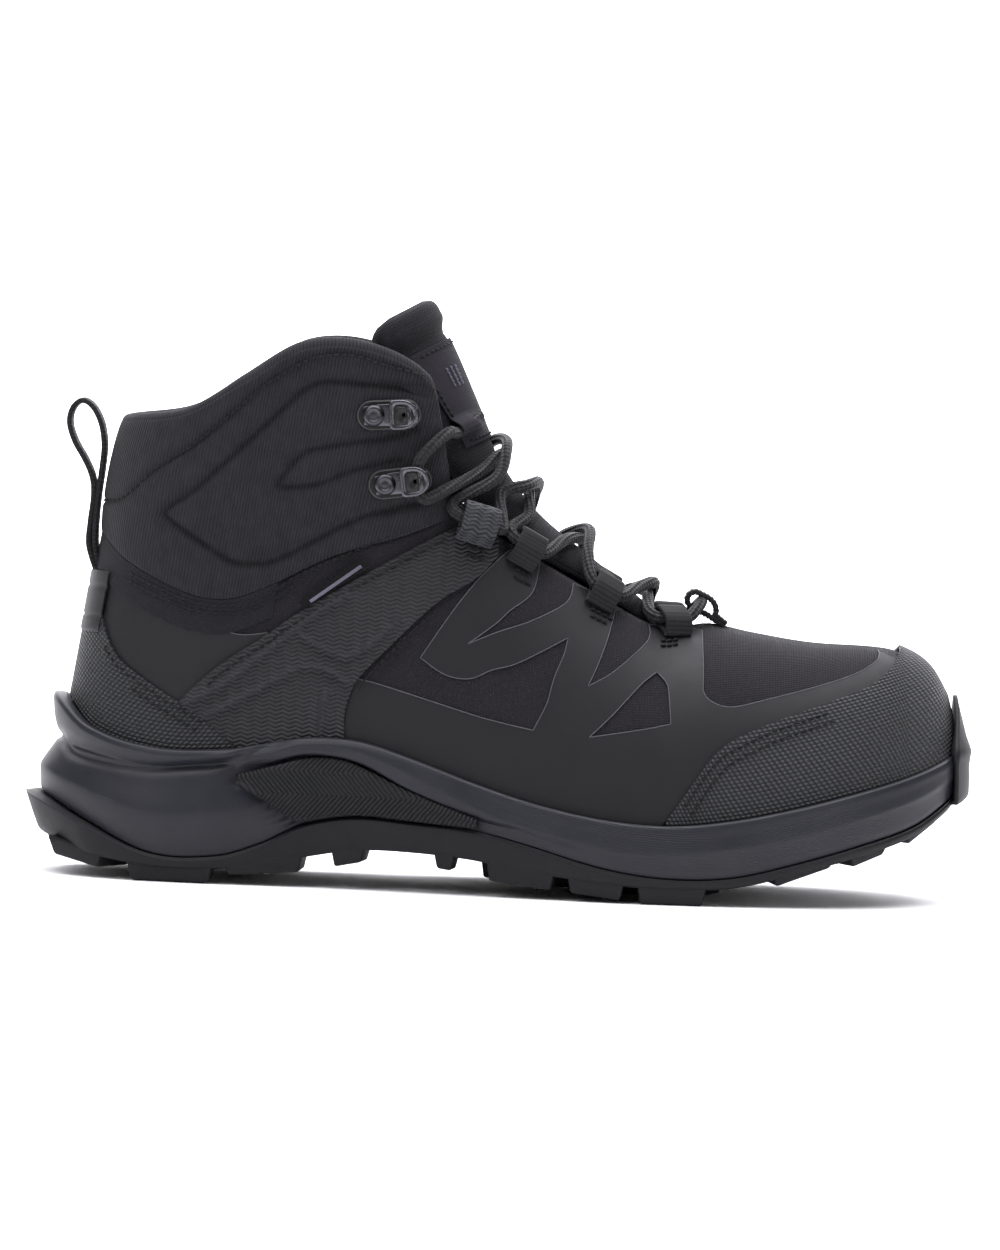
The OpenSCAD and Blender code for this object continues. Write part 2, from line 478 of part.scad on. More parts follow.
function swell(v) = sin(180 * clamp(v, 0, 1));
COLLAR_FRONT = s_at(-29.2);
module collar() color([0.17, 0.17, 0.18])
    panel(wrap_columns(0, COLLAR_FRONT, 16, function (s) seam_t(s, 0.4),
                       function (s) 0.978), 7,
          function (s, v) -2.4 - (collar_pad_t - 2.4) * smooth((COLLAR_FRONT - s) / 0.05) * smooth(6 * v),
          function (s, v) 0.3 + 1.5 * swell(v) * smooth((COLLAR_FRONT - s) / 0.05));
module collar_lining() color([0.12, 0.12, 0.13])
    panel(wrap_columns(0, s_at(-33), 14, function (s) seam_t(s, 0.6),
                       function (s) 0.975), 5,
          function (s, v) -collar_pad_t - seam_gap - lining_t, function (s, v) -collar_pad_t - seam_gap);

// Round binding along the top line, from one front corner to the other.
module tube(points, r, sides) {
    n = len(points);
    function along(i) = unit(points[min(i + 1, n - 1)] - points[max(i - 1, 0)]);
    // Carries a direction square to the tube on to the next point, so that it doesn't twist.
    function carried(i, side) = unit(side - (side * along(i)) * along(i));
    function frames(i, side) =
        i >= n ? [] : let (v = carried(i, side)) concat([v], frames(i + 1, v));
    first = abs(along(0)[2]) > 0.9 ? [1, 0, 0] : [0, 0, 1];
    side = frames(0, first);
    rings = [for (i = [0:n - 1]) let (u = side[i], w = cross(along(i), u))
        [for (k = [0:sides - 1]) points[i] + r * (cos(360 * k / sides) * u + sin(360 * k / sides) * w)]];
    walls = [for (i = [0:n - 2], k = [0:sides - 1])
        let (a = i * sides + k, b = i * sides + (k + 1) % sides)
        each [[a, a + sides, b + sides], [a, b + sides, b]]];
    polyhedron([for (r = rings) each r],
               concat(walls, [[for (k = [0:sides - 1]) k],
                              [for (k = [sides - 1:-1:0]) (n - 1) * sides + k]]), convexity = 8);
}
module collar_binding() color([0.15, 0.15, 0.16]) {
    rim = wrap_columns(0, s_at(-49), 17, function (s) 1, function (s) 1);
    tube([for (c = rim) on_skin(c[0], c[1], 1, -collar_pad_t / 2 - 0.4) + [0, 0, 1.4]], 2.6, 8);
}

// ---- Tongue ----

function tongue_point(v, w, off) =
    let (c = curve(TONGUE, v), e = 0.01, a = curve(TONGUE, clamp(v - e, 0, 1)),
         b = curve(TONGUE, clamp(v + e, 0, 1)), along = unit([b[1] - a[1], 0, b[2] - a[2]]),
         out = [along[2], 0, -along[0]], bend = 75 * w)
    [c[1], 0, c[2]] - c[4] * (1 - cos(bend)) / (1 - cos(75)) * out
    + [0, c[3] * sin(bend) / sin(75) + 3 * smooth((c[1] + 10) / 75), 0]
    + off * (cos(bend) * out + [0, sin(bend), 0]);
module tongue_part(v0, v1, n, lo, hi, w = 1, across = 8) {
    function grid(off) = [for (i = [0:n]) let (v = lerp(v0, v1, i / n))
        [for (j = [0:across]) let (u = w * lerp(-1, 1, j / across)) tongue_point(v, u, off(v, u))]];
    slab(grid(lo), grid(hi));
}
module tongue() color([0.16, 0.16, 0.17])
    tongue_part(0, TONGUE_SPLIT - 0.012, 16,
                function (v, w) -lerp(2.4, tongue_pad_t, smooth(v / 0.3)), function (v, w) 0);
module tongue_flap() color([0.16, 0.16, 0.17])
    tongue_part(TONGUE_SPLIT, 1, 7,
                function (v, w) -tongue_pad_t - 1.5 * swell((v - TONGUE_SPLIT) / (1 - TONGUE_SPLIT)),
                function (v, w) 1.2 * smooth((v - 0.9) / 0.06) * smooth((1.03 - v) / 0.05));
// Patch on the front of the flap. Below the flap it goes on as a pocket, with a mouth on
// each side for an end of the lace.
PATCH_W = 0.8;
module tongue_patch() color([0.2, 0.19, 0.22])
    tongue_part(TONGUE_SPLIT + 0.006, 0.9, 5, function (v, w) seam_gap,
                function (v, w) seam_gap + 0.8, PATCH_W, 6);
module lace_pocket() color([0.2, 0.19, 0.22]) {
    mouth = function (v, w) seam_gap + (lace_d + 1.1) * window(abs(w), 0.45, 1, 0.2)
                            * smooth((TONGUE_SPLIT - 0.008 - v) / 0.02);
    tongue_part(0.676, TONGUE_SPLIT - 0.008, 6, mouth, function (v, w) mouth(v, w) + 0.8,
                PATCH_W, 12);
}

// Soft fold that joins the tongue to the inside of the quarter.
module gusset(side) {
    xs = [56, 44, 30, 15, 0, -12];
    function outer_edge(x) = let (s = s_at(x)) on_skin(side, s, 0.9, -fabric_t - lining_t - 3.4);
    function inner_edge(x) =
        let (v = lerp(0.14, 0.56, (56 - x) / 68), p = tongue_point(v, side * 0.72, -tongue_pad_t - 1.6)) p;
    function grid(drop) = [for (x = xs) [for (j = [0:3])
        lerp(inner_edge(x), outer_edge(x), j / 3) - [0, 0, 3 * swell(j / 3) + drop]]];
    color([0.12, 0.12, 0.13]) if (side == LATERAL) slab(grid(0), grid(1));
    else slab(grid(1), grid(0));
}
module gusset_lateral() gusset(LATERAL);
module gusset_medial() gusset(MEDIAL);

// ---- Lacing ----

// Puts a child that is drawn in the XY plane, with Z outwards, on the upper at x and height t,
// turned so that its X runs along the edge of the throat.
module on_upper(side, x, t, off) {
    s = s_at(x);
    z = skin_normal(side, s, t);
    u = unit(skin(side, s_at(x + 2), t) - skin(side, s_at(x - 2), t));
    y = cross(z, u);
    o = on_skin(side, s, t, off);
    multmatrix([[u[0], y[0], z[0], o[0]], [u[1], y[1], z[1], o[1]], [u[2], y[2], z[2], o[2]]])
        children();
}
// Outline of a webbing loop seen from its end: a flat eye for the lace and a sewn tail.
module loop_outline(eye = lace_d + 0.5) {
    reach = 4.2;
    difference() {
        union() {
            for (x = [-reach / 2, reach / 2]) translate([x, eye / 2 + webbing_t]) circle(eye / 2 + webbing_t, $fn = 32);
            translate([-reach / 2, 0]) square([reach, eye + 2 * webbing_t]);
            translate([-11, 0]) square([10, 2 * webbing_t]);
        }
        for (x = [-reach / 2, reach / 2]) translate([x, eye / 2 + webbing_t]) circle(eye / 2, $fn = 32);
        translate([-reach / 2, webbing_t]) square([reach, eye]);
    }
}
// A loop lies with its length along the throat's edge and its eye for the lace over the edge.
module webbing_loop(side, x, w, off, eye = lace_d + 0.5)
    on_upper(side, x, 1, off)
        rotate([90, 0, side == LATERAL ? 90 : -90]) translate([0, 0, -w / 2])
            linear_extrude(w) loop_outline(eye);
module lace_loop(side, x) color([0.22, 0.22, 0.23]) webbing_loop(side, x, webbing_w, LOOP_OFF);
module strap_loop(side) color([0.24, 0.24, 0.25]) 
    webbing_loop(side, STRAP_LOOP, STRAP_LOOP_W, STRAP_LOOP_OFF, lace_d + 1.1);
module toe_keeper() color([0.22, 0.22, 0.23]) translate([61.8, 2.7, 91.9]) rotate([90, 25, 0])
    translate([0, 0, -webbing_w / 2]) linear_extrude(webbing_w) mirror([1, 0]) loop_outline();

// The lace runs from the keeper at the toe to the pocket on the tongue, once starting on the
// lateral side (m = 1) and once on the medial side (m = -1). The second half is carried over
// the first where they cross, by the share up of the lace's thickness.
function beside(m, x, y, z) = [x, m > 0 ? y : 2 * curve(TOP, max(x, -26))[6] - y, z];
function across(m, v, w, lift = 0) =
    tongue_point(v, m * w, 0.5 + lace_d / 2 + lift * (lace_d + 0.2));
function lace_half(m, up) = [
    beside(m, 63.1, -1.8, 94.8), beside(m, 61.4, -7, 92.6), beside(m, 58, -11.1, 90),
    beside(m, 49.4, -15.3, 90.1), beside(m, 46.4, -14.4, 91.6),
    across(m, 0.235, -0.6, 0.5 * up), across(m, 0.25, 0, up), across(m, 0.27, 0.5, 0.5 * up),
    beside(m, 36, 22.4, 96.7), beside(m, 27.6, 23.3, 101.3),
    across(m, 0.385, 0.6, 0.5 * up), across(m, 0.405, 0, up), across(m, 0.43, -0.55, 0.5 * up),
    beside(m, 10.7, -25.3, 109.6), beside(m, 2.4, -27, 114.1), beside(m, 0.4, -24.6, 117.4),
    across(m, 0.51, -0.7), across(m, 0.53, -0.4, 0.8 * up), across(m, 0.545, 0, up),
    across(m, 0.555, 0.4, 0.8 * up), across(m, 0.57, 0.8), beside(m, -2.2, 28.6, 117.6),
    beside(m, -5, 31.2, 117.8), beside(m, -14.5, 32.4, 120.2), beside(m, -18.4, 30.4, 125),
    across(m, 0.6, 0.8, up), across(m, 0.62 + 0.02 * up, 0.4, up),
    across(m, 0.63 + 0.03 * up, 0, 0.4 * up), across(m, 0.635 + 0.03 * up, -0.4),
    across(m, 0.625 + 0.02 * up, -0.85),
    beside(m, -20, -33, 129.6), beside(m, -24, -35.8, 127.2), beside(m, -27.4, -37.6, 125.9),
    beside(m, -29.2, -38, 127.4), beside(m, -29.6, -38, 131.7), beside(m, -30.2, -38, 136),
    beside(m, -29.2, -37.6, 139), beside(m, -25.4, -35, 143.4), beside(m, -20.6, -29, 147.4),
    across(m, 0.712, -0.85), across(m, 0.72, -0.65), across(m, 0.727, -0.42)];
LACE_ROUTE = concat(reversed(lace_half(1, 0)), lace_half(-1, 1));
module lace() color([0.2, 0.2, 0.2]) tube(LACE_ROUTE, lace_d / 2, 8);
// Hooks: drawn with the rivet at the origin, X towards the hook's nose and Z outwards.
module on_collar(side, place) {
    h = HOOKS[place];
    c = cos(h[3]);
    d = sin(h[3]);
    multmatrix([[c, side == LATERAL ? -d : d, 0, h[0]], [0, 0, side, side * h[2]],
                [d, side == LATERAL ? c : -c, 0, h[1]]])
        children();
}
PLATE_L = 16;
PLATE_R = 4.9;
SHANK_R = 1.6;
HOOK_TURN_X = 11;
HOOK_TURN_R = 2.15;
HOOK_STRIP = 0.9;
module hook_plate(side, place) color([0.16, 0.16, 0.16]) on_collar(side, place) difference() {
    linear_extrude(plate_t) union() {
        for (x = [-0.6, PLATE_L - 5.6]) translate([x, 0]) circle(PLATE_R, $fn = 48);
        translate([-0.6, -PLATE_R]) square([PLATE_L - 5, 2 * PLATE_R]);
    }
    translate([0, 0, -1]) cylinder(h = plate_t + 2, r = SHANK_R + 0.05, $fn = 48);
}
// A strip of metal from under the rivet, turned back over the lace.
module hook_profile() {
    lip_y = HOOK_STRIP + 2 * HOOK_TURN_R;
    translate([-3.2, 0]) square([HOOK_TURN_X + 3.2, HOOK_STRIP]);
    translate([6, lip_y]) square([HOOK_TURN_X - 6, hook_wire - 0.6]);
    intersection() {
        translate([HOOK_TURN_X, HOOK_STRIP + HOOK_TURN_R]) difference() {
            circle(HOOK_TURN_R + HOOK_STRIP, $fn = 48);
            circle(HOOK_TURN_R, $fn = 48);
        }
        translate([HOOK_TURN_X, -1]) square([5, 10]);
    }
}
module lace_hook(side, place) color([0.45, 0.46, 0.48]) on_collar(side, place)
    translate([0, 0, plate_t + 0.05]) difference() {
        intersection() {
            translate([0, 5, 0]) rotate([90, 0, 0]) linear_extrude(10) hook_profile();
            translate([0, 0, -1]) linear_extrude(12) union() {
                circle(3.6, $fn = 48);
                translate([0, -3.6]) square([9.5, 7.2]);
                translate([10.4, 0]) circle(3.7, $fn = 48);
            }
        }
        translate([0, 0, -1]) cylinder(h = 3, r = SHANK_R + 0.05, $fn = 48);
    }
// Domed head and a shank that goes through the hook, its plate and the collar's skin.
module rivet(side, place) color([0.5, 0.5, 0.52]) on_collar(side, place) {
    translate([0, 0, plate_t + 1]) rotate_extrude($fn = 64) intersection() {
        translate([0, 1.6 - 4.2]) circle(4.2, $fn = 64);
        square([rivet_r, 2]);
    }
    translate([0, 0, -0.2]) cylinder(h = plate_t + 1.3, r = SHANK_R, $fn = 48);
}

// Webbing folded into a loop, seen from the side.
module pull_tab() color([0.2, 0.2, 0.21]) rotate([90, 0, 0]) translate([0, 0, -pull_tab_w / 2])
    linear_extrude(pull_tab_w) offset(pull_tab_t / 2) ribbon(PULL_TAB);
module ribbon(p) for (i = [0:len(p) - 2]) hull() for (k = [0, 1]) translate(p[i + k]) circle(0.05, $fn = 8);

module side_tag() color([0.3, 0.3, 0.31])
    panel(side_columns(LATERAL, s_at(-76), s_at(-56), 4, function (s) t_at(s, curve(STRAP_HIGH, foot_x(s) + 8)[1] + 1),
                       function (s) t_at(s, curve(STRAP_HIGH, foot_x(s) + 8)[1] + 6)), 2,
          overlay_lo, function (s, v) OVERLAY_LO + 0.8);
module heel_badge() color([0.3, 0.3, 0.31])
    panel(wrap_columns(0, 0.09, 3, function (s) t_at(s, 78), function (s) t_at(s, 98)), 3,
          function (s, v) OVERLAY_LO + overlay_t + seam_gap, function (s, v) OVERLAY_LO + overlay_t + seam_gap + 0.8);

outsole();
midsole();
arch_plate_lateral();
arch_plate_medial();
shank();
insole_board();
footbed();
vamp();
vamp_lining();
toe_puff();
quarter_lateral();
quarter_medial();
heel_counter();
heel_lining();
toe_cap();
heel_cap();
film_overlay_lateral();
film_overlay_medial();
strap_lateral();
strap_medial();
band();
collar();
collar_lining();
collar_binding();
tongue();
tongue_flap();
tongue_patch();
lace_pocket();
gusset_lateral();
gusset_medial();
toe_keeper();
lace();
pull_tab();
side_tag();
heel_badge();
strap_loop(LATERAL);  // strap_loop_lateral
strap_loop(MEDIAL);  // strap_loop_medial
for (side = [LATERAL, MEDIAL], n = [0:len(LOOPS) - 1])
    lace_loop(side, LOOPS[n]);
for (side = [LATERAL, MEDIAL], n = [0, 1]) {
    hook_plate(side, n);
    lace_hook(side, n);
    rivet(side, n);
}
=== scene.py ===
"""Looks of a mid-height hiking boot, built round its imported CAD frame.

Lengths in the tables and functions are millimetres in the row frame: X to the toe, Y to the
inner side of the foot, Z up. make() turns them into metres.
"""

import math

import bmesh
import bpy
import numpy as np
from mathutils import Matrix, Vector


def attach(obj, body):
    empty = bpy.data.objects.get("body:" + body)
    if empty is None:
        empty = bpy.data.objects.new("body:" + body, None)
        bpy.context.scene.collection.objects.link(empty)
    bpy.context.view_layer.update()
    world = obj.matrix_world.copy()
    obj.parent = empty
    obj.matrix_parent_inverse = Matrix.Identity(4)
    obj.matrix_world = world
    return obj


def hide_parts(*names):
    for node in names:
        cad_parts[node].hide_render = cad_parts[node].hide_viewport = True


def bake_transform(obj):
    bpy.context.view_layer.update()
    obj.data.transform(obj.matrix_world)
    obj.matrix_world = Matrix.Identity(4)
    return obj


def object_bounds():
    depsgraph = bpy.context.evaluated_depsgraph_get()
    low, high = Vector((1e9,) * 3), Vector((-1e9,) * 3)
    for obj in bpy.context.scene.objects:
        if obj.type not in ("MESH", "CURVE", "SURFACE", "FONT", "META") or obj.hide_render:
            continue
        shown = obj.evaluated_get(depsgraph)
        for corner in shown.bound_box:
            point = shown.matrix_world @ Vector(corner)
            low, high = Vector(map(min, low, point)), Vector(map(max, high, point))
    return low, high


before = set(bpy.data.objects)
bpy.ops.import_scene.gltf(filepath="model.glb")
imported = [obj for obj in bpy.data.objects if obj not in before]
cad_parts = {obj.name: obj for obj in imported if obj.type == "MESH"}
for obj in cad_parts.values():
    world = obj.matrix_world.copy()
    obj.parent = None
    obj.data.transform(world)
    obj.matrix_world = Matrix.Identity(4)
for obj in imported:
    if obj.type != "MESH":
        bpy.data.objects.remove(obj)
cad_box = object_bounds()

MM = 0.001
LATERAL, MEDIAL = -1, 1
HEEL_X, TOE_X = -141, 149
HEEL_ROUND, TOE_ROUND = 40, 60
RIDGE_X = 66
LACE_R = 1.9

# Outline of the upper at the sole: x, lateral y, medial y.
PLAN = [
    [-141, -33, 33], [-100, -34.5, 34.5], [-60, -36, 34], [-25, -41, 35], [10, -46, 40],
    [40, -49, 46], [70, -47, 50], [100, -42, 51], [130, -36, 50], [149, -30, 48],
]
# Height of that line.
FEATHER = [
    [-141, 46], [-123, 38], [-98, 36], [-80, 38], [-60, 41.5], [-47, 42], [-29, 37], [2, 27],
    [30, 20.5], [46, 19.5], [68, 21.5], [102, 28], [135, 39], [149, 45],
]
# Top line by the section's foot: x, z, half width, roundness, bulge, y of the middle.
TOP = [
    [-141, -126, 148, 36, 1.6, 1.0, 0], [-122, -105, 151.5, 36, 1.6, 0.4, 0],
    [-104, -86, 163, 36, 1.6, -1.2, 0], [-86, -67, 174.5, 35, 1.6, -2.2, 0],
    [-68, -46, 174.5, 33, 1.6, -2.4, 0], [-52, -27, 165, 30, 1.6, -2, 0],
    [-44, -23, 152, 29, 1.6, -1.6, 0], [-36, -20.5, 138, 28.5, 1.6, -1, 0],
    [-26, -18, 121.5, 28, 1.7, -0.6, 0], [-10, -9, 117, 26.5, 1.8, 0, 0],
    [2, 2, 111.5, 24, 1.9, 0, 0.3], [26, 26, 98.5, 20, 2, 0, 1], [49, 49, 87, 15.5, 2.1, 0, 2],
    [60, 60, 87, 9.5, 2.2, 0, 2.6], [66, 66, 88.2, 0, 2.2, 0, 3], [80, 80, 85.8, 0, 2.2, 0, 4],
    [100, 99, 83.2, 0, 2.2, 0, 6], [125, 123, 82.2, 0, 2.2, 0, 8], [136, 132, 79.5, 0, 2.2, 0, 8.6],
    [143, 138, 75, 0, 2.2, 0, 9], [149, 143, 67, 0, 2.2, 0, 9],
]
# Seam under the collar, by the section's foot.
BAND_SEAM = [
    [-141, 110], [-131, 101.5], [-111, 92.5], [-97, 91], [-84, 96], [-67, 106], [-45, 114.5],
    [-26, 121],
]
# Sole by the section's foot: heights of rim, waist, rubber and its underside, then how far
# lip, waist, wall, belly, lower edge and rubber stand out.
SOLE = [
    [-141, 58, 43, 26, 13, 5, 2.7, 3.4, 8.3, 8.0, 12.6],
    [-131, 48.5, 40, 19, 8.4, 4.6, 2.6, 3.2, 7, 5.6, 8.5],
    [-111, 43, 36.5, 9, 4.6, 4.5, 2.9, 3.6, 6.4, 4, 5.4],
    [-90, 43.2, 38, 8.8, 4.6, 4.4, 2.8, 3.4, 6, 3.6, 4.8],
    [-76, 45.5, 38.5, 13.2, 6.4, 4.2, 3.6, 2.2, 3.8, 2.6, 3.8],
    [-62, 48.2, 42.4, 20, 9.6, 4.1, 4, 1.1, 1.4, 1.4, 3.4],
    [-45, 47.8, 40.6, 23.2, 12.6, 4.1, 4, 1.0, 1.2, 1.2, 3.2],
    [-28, 43, 32.6, 22.4, 12.8, 4.2, 4.1, 1.1, 1.3, 1.3, 3.4],
    [-8, 36.2, 25.6, 21, 11.4, 4.3, 4.3, 2.2, 2.4, 2.6, 3.8],
    [12, 30.4, 22, 16.4, 8.2, 4.5, 4.8, 4, 3.8, 3.4, 4.2],
    [35, 26.2, 17.5, 10.4, 5.6, 4.6, 5.2, 5.2, 4.6, 3.8, 4.6],
    [55, 25.2, 16.5, 8, 4.6, 4.6, 5.4, 5.4, 4.8, 3.8, 4.6],
    [75, 27.6, 18.5, 9, 5.6, 4.5, 5.4, 5.3, 4.6, 3.6, 4.4],
    [95, 32, 23, 14, 10.4, 4.4, 5.1, 5, 4.4, 3.4, 4.2],
    [115, 37.6, 29, 20.2, 16.4, 4.2, 4.8, 4.6, 4.2, 3.2, 4],
    [132, 43, 35, 26.4, 22.6, 3.6, 4, 3.8, 3.4, 2.8, 3.4],
    [143, 47.6, 41, 34, 30, 3, 3.2, 3, 2.6, 2.2, 2.8],
    [149, 51, 45.4, 40, 36, 2, 2.2, 2, 1.6, 1.2, 1.8],
]
# Places of those columns: heights first, then how far each line stands out.
RIM, WAIST, RUBBER_TOP, RUBBER_UNDER = 1, 2, 3, 4
LIP, WAIST_OUT, WALL_OUT, BELLY, LOWER, RUBBER = 5, 6, 7, 8, 9, 10
# Spine of the tongue: place along it, x and z, half width, how far its sides lie back.
TONGUE = [
    [0, 71, 77.5, 9, 1.5], [0.1, 60, 81, 10, 2.5], [0.2, 50, 90.5, 11.5, 3.5],
    [0.35, 30, 106, 14, 5], [0.5, 9, 122, 16.5, 8], [0.62, -3.5, 138, 18, 11],
    [0.75, -12, 156, 18.5, 15], [0.88, -20.5, 174, 20, 20], [1, -29.5, 190, 22, 24],
]
TONGUE_BEND = math.radians(75)


# ---- Curves and surfaces ----

def smooth(v):
    v = np.clip(v, 0, 1)
    return v * v * (3 - 2 * v)


def curve(rows, k):
    """Smooth curve through rows whose first value is the key; k may be an array."""
    rows = np.asarray(rows, float)
    k = np.asarray(k, float)
    last = len(rows) - 1
    i = np.clip(np.searchsorted(rows[:, 0], k) - 1, 0, last - 1)
    before, after = np.maximum(np.arange(last + 1) - 1, 0), np.minimum(np.arange(last + 1) + 1, last)
    slopes = (rows[after] - rows[before]) / (rows[after, :1] - rows[before, :1])
    h = (rows[i + 1, 0] - rows[i, 0])[..., None]
    t = np.clip((k - rows[i, 0])[..., None] / h, 0, 1)
    return (rows[i] * (2 * t**3 - 3 * t**2 + 1) + slopes[i] * h * (t**3 - 2 * t**2 + t)
            + rows[i + 1] * (3 * t**2 - 2 * t**3) + slopes[i + 1] * h * (t**3 - t**2))


def round_end(q, p):
    return np.where(q >= 1, 1, (1 - (1 - np.clip(q, 0, 1)) ** p) ** (1 / p))


def taper(x):
    return round_end((x - HEEL_X) / HEEL_ROUND, 2) * round_end((TOE_X - x) / TOE_ROUND, 2.2)


def foot_x(s):
    return HEEL_X + (TOE_X - HEEL_X) * (1 - np.cos(np.pi * np.asarray(s, float))) / 2


def s_at(x):
    return np.arccos(np.clip(1 - 2 * (np.asarray(x, float) - HEEL_X) / (TOE_X - HEEL_X), -1, 1)) / np.pi


def skin(side, s, t):
    """Outer surface of the upper: s from heel to toe, t from the sole to the top line."""
    side, s, t = np.broadcast_arrays(np.asarray(side, float), np.asarray(s, float),
                                     np.asarray(t, float))
    x = foot_x(s)
    plan, top, foot_z = curve(PLAN, x), curve(TOP, x), curve(FEATHER, x)[..., 1]
    a = (plan[..., 2] - plan[..., 1]) / 2
    b = np.where(x >= RIDGE_X, 0, np.maximum(0, top[..., 3]))
    p = top[..., 4]
    up = np.clip(t, 0, None)
    arch = np.clip(1 - (1 - (b / a) ** p) * up**p, 0, None) ** (1 / p)
    mid = (plan[..., 1] + plan[..., 2]) / 2
    y = mid + (top[..., 6] - mid) * t + side * taper(x) * (a * arch + top[..., 5] * np.sin(np.pi * t))
    return np.stack([x + (top[..., 1] - x) * t, y, foot_z + (top[..., 2] - foot_z) * t], -1)


def unit(v):
    return v / np.maximum(np.linalg.norm(v, axis=-1, keepdims=True), 1e-9)


def skin_normal(side, s, t):
    side, s, t = np.broadcast_arrays(np.asarray(side, float), np.asarray(s, float),
                                     np.asarray(t, float))
    e = 0.004
    s0, s1, t0, t1 = np.maximum(s - e, 0), np.minimum(s + e, 1), np.maximum(t - e, 0), np.minimum(t + e,
            1)
    t0, t1 = np.where(t0 >= t1, t1 - e, t0), t1
    across = skin(side, s1, t) - skin(side, s0, t)
    return -side[..., None] * unit(np.cross(across, skin(side, s, t1) - skin(side, s, t0)))


def on_skin(side, s, t, off):
    return skin(side, s, t) + np.asarray(off, float)[..., None] * skin_normal(side, s, t)


def t_at(s, z):
    x = foot_x(s)
    foot_z = curve(FEATHER, x)[..., 1]
    return (z - foot_z) / (curve(TOP, x)[..., 2] - foot_z)


def place_at(x, z):
    """The s and t of the skin's point that is seen at x, z from the side."""
    x, z = np.asarray(x, float), np.asarray(z, float)
    foot = x.copy()
    for _ in range(24):
        top, foot_z = curve(TOP, foot), curve(FEATHER, foot)[..., 1]
        t = (z - foot_z) / (top[..., 2] - foot_z)
        foot = np.clip(foot + 0.8 * (x - foot - (top[..., 1] - foot) * t), HEEL_X, TOE_X)
    return s_at(foot), t


def draped(side, xz, off):
    s, t = place_at(xz[..., 0], xz[..., 1])
    return on_skin(side, s, np.minimum(t, 0.9999), off)


def sole(s, i):
    return curve(SOLE, foot_x(s))[..., i]


def rim_t(s, up=0.0):
    return t_at(s, sole(s, RIM) + up)


def seam_t(s, up=0.0):
    return t_at(s, curve(BAND_SEAM, foot_x(s))[..., 1] + up)


def tongue_point(v, w, off):
    v, w, off = np.broadcast_arrays(np.asarray(v, float), np.asarray(w, float), np.asarray(off, float))
    e = 0.01
    c, a, b = (curve(TONGUE, np.clip(v + d, 0, 1)) for d in (0, -e, e))
    along = unit(np.stack([b[..., 1] - a[..., 1], b[..., 2] - a[..., 2]], -1))
    out_x, out_z = along[..., 1], -along[..., 0]
    bend = TONGUE_BEND * w
    back = c[..., 4] * (1 - np.cos(bend)) / (1 - math.cos(TONGUE_BEND))
    x = c[..., 1] - back * out_x + off * np.cos(bend) * out_x
    y = c[..., 3] * np.sin(bend) / math.sin(TONGUE_BEND) + 3 * smooth((c[..., 1] + 10)
            / 75) + off * np.sin(bend)
    z = c[..., 2] - back * out_z + off * np.cos(bend) * out_z
    return np.stack([x, y, z], -1)


def rounded(points, step=1.5, closed=False):
    """Smooth line through the points, with a corner where a point is given twice."""
    p = [np.asarray(q, float) for q in points]
    if closed:
        p = p + [p[0]]
    out = [p[0]]
    n = len(p)
    for i in range(n - 1):
        a, b = p[i], p[i + 1]
        if np.allclose(a, b):
            continue
        before = p[i - 1] if i > 0 else (p[-2] if closed else a)
        after = p[i + 2] if i + 2 < n else (p[1] if closed else b)
        m0, m1 = (b - before) / 2, (after - a) / 2
        k = max(2, int(np.linalg.norm(b - a) / step))
        for j in range(1, k + 1):
            t = j / k
            out.append(a * (2 * t**3 - 3 * t**2 + 1) + m0 * (t**3 - 2 * t**2 + t)
                       + b * (3 * t**2 - 2 * t**3) + m1 * (t**3 - t**2))
    return np.array(out[:-1] if closed else out)


def near(xz, line):
    """Distance of each point from a line, in the side view."""
    a, b = line[:-1], line[1:]
    d = b - a
    rel = xz[..., None, :] - a
    t = np.clip((rel * d).sum(-1) / np.maximum((d * d).sum(-1), 1e-9), 0, 1)
    return np.linalg.norm(rel - t[..., None] * d, axis=-1).min(-1)


def groove(xz, lines, half_width, depth):
    """How deep the lines press into the surface at each point."""
    d = np.min([near(xz, rounded(line, 3)) for line in lines], axis=0)
    return depth * np.exp(-((d / half_width) ** 2))


# ---- Meshes ----

def make(name, verts, faces, material, slot, body="boot", uv=None, smooth_shade=True, painted_shading=None):
    mesh = bpy.data.meshes.new(name)
    mesh.from_pydata((np.asarray(verts, float).reshape(-1, 3) * MM).tolist(), [],
                     [list(map(int, f)) for f in faces])
    if uv is not None:
        layer = mesh.uv_layers.new(name="weave")
        flat = np.asarray(uv, float).reshape(-1, 2) * MM
        index = np.empty(len(mesh.loops), np.int32)
        mesh.loops.foreach_get("vertex_index", index)
        layer.data.foreach_set("uv", flat[index].ravel())
    # Per-point painted shade (positive values) and painted highlight (negative values), read by the
    # materials' colour.
    if painted_shading is not None:
        layer = mesh.attributes.new("painted_shading", "FLOAT", "POINT")
        layer.data.foreach_set("value", np.asarray(painted_shading, np.float32).ravel())
    mesh.materials.append(material)
    if smooth_shade:
        mesh.polygons.foreach_set("use_smooth", [True] * len(mesh.polygons))
    mesh.update()
    obj = bpy.data.objects.new(name, mesh)
    bpy.context.scene.collection.objects.link(obj)
    if body:
        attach(obj, body)
    return obj


def make_part(name, part, material, slot, body="boot"):
    verts, faces, uv = part
    return make(name, verts, faces, material, slot, body, uv=uv)


def grid_faces(n, m, close_n=False, close_m=False, start=0, flip=False):
    out = []
    for i in range(n if close_n else n - 1):
        for j in range(m if close_m else m - 1):
            a, b = start + i * m + j, start + i * m + (j + 1) % m
            c, d = start + ((i + 1) % n) * m + (j + 1) % m, start + ((i + 1) % n) * m + j
            out.append((a, d, c, b) if flip else (a, b, c, d))
    return out


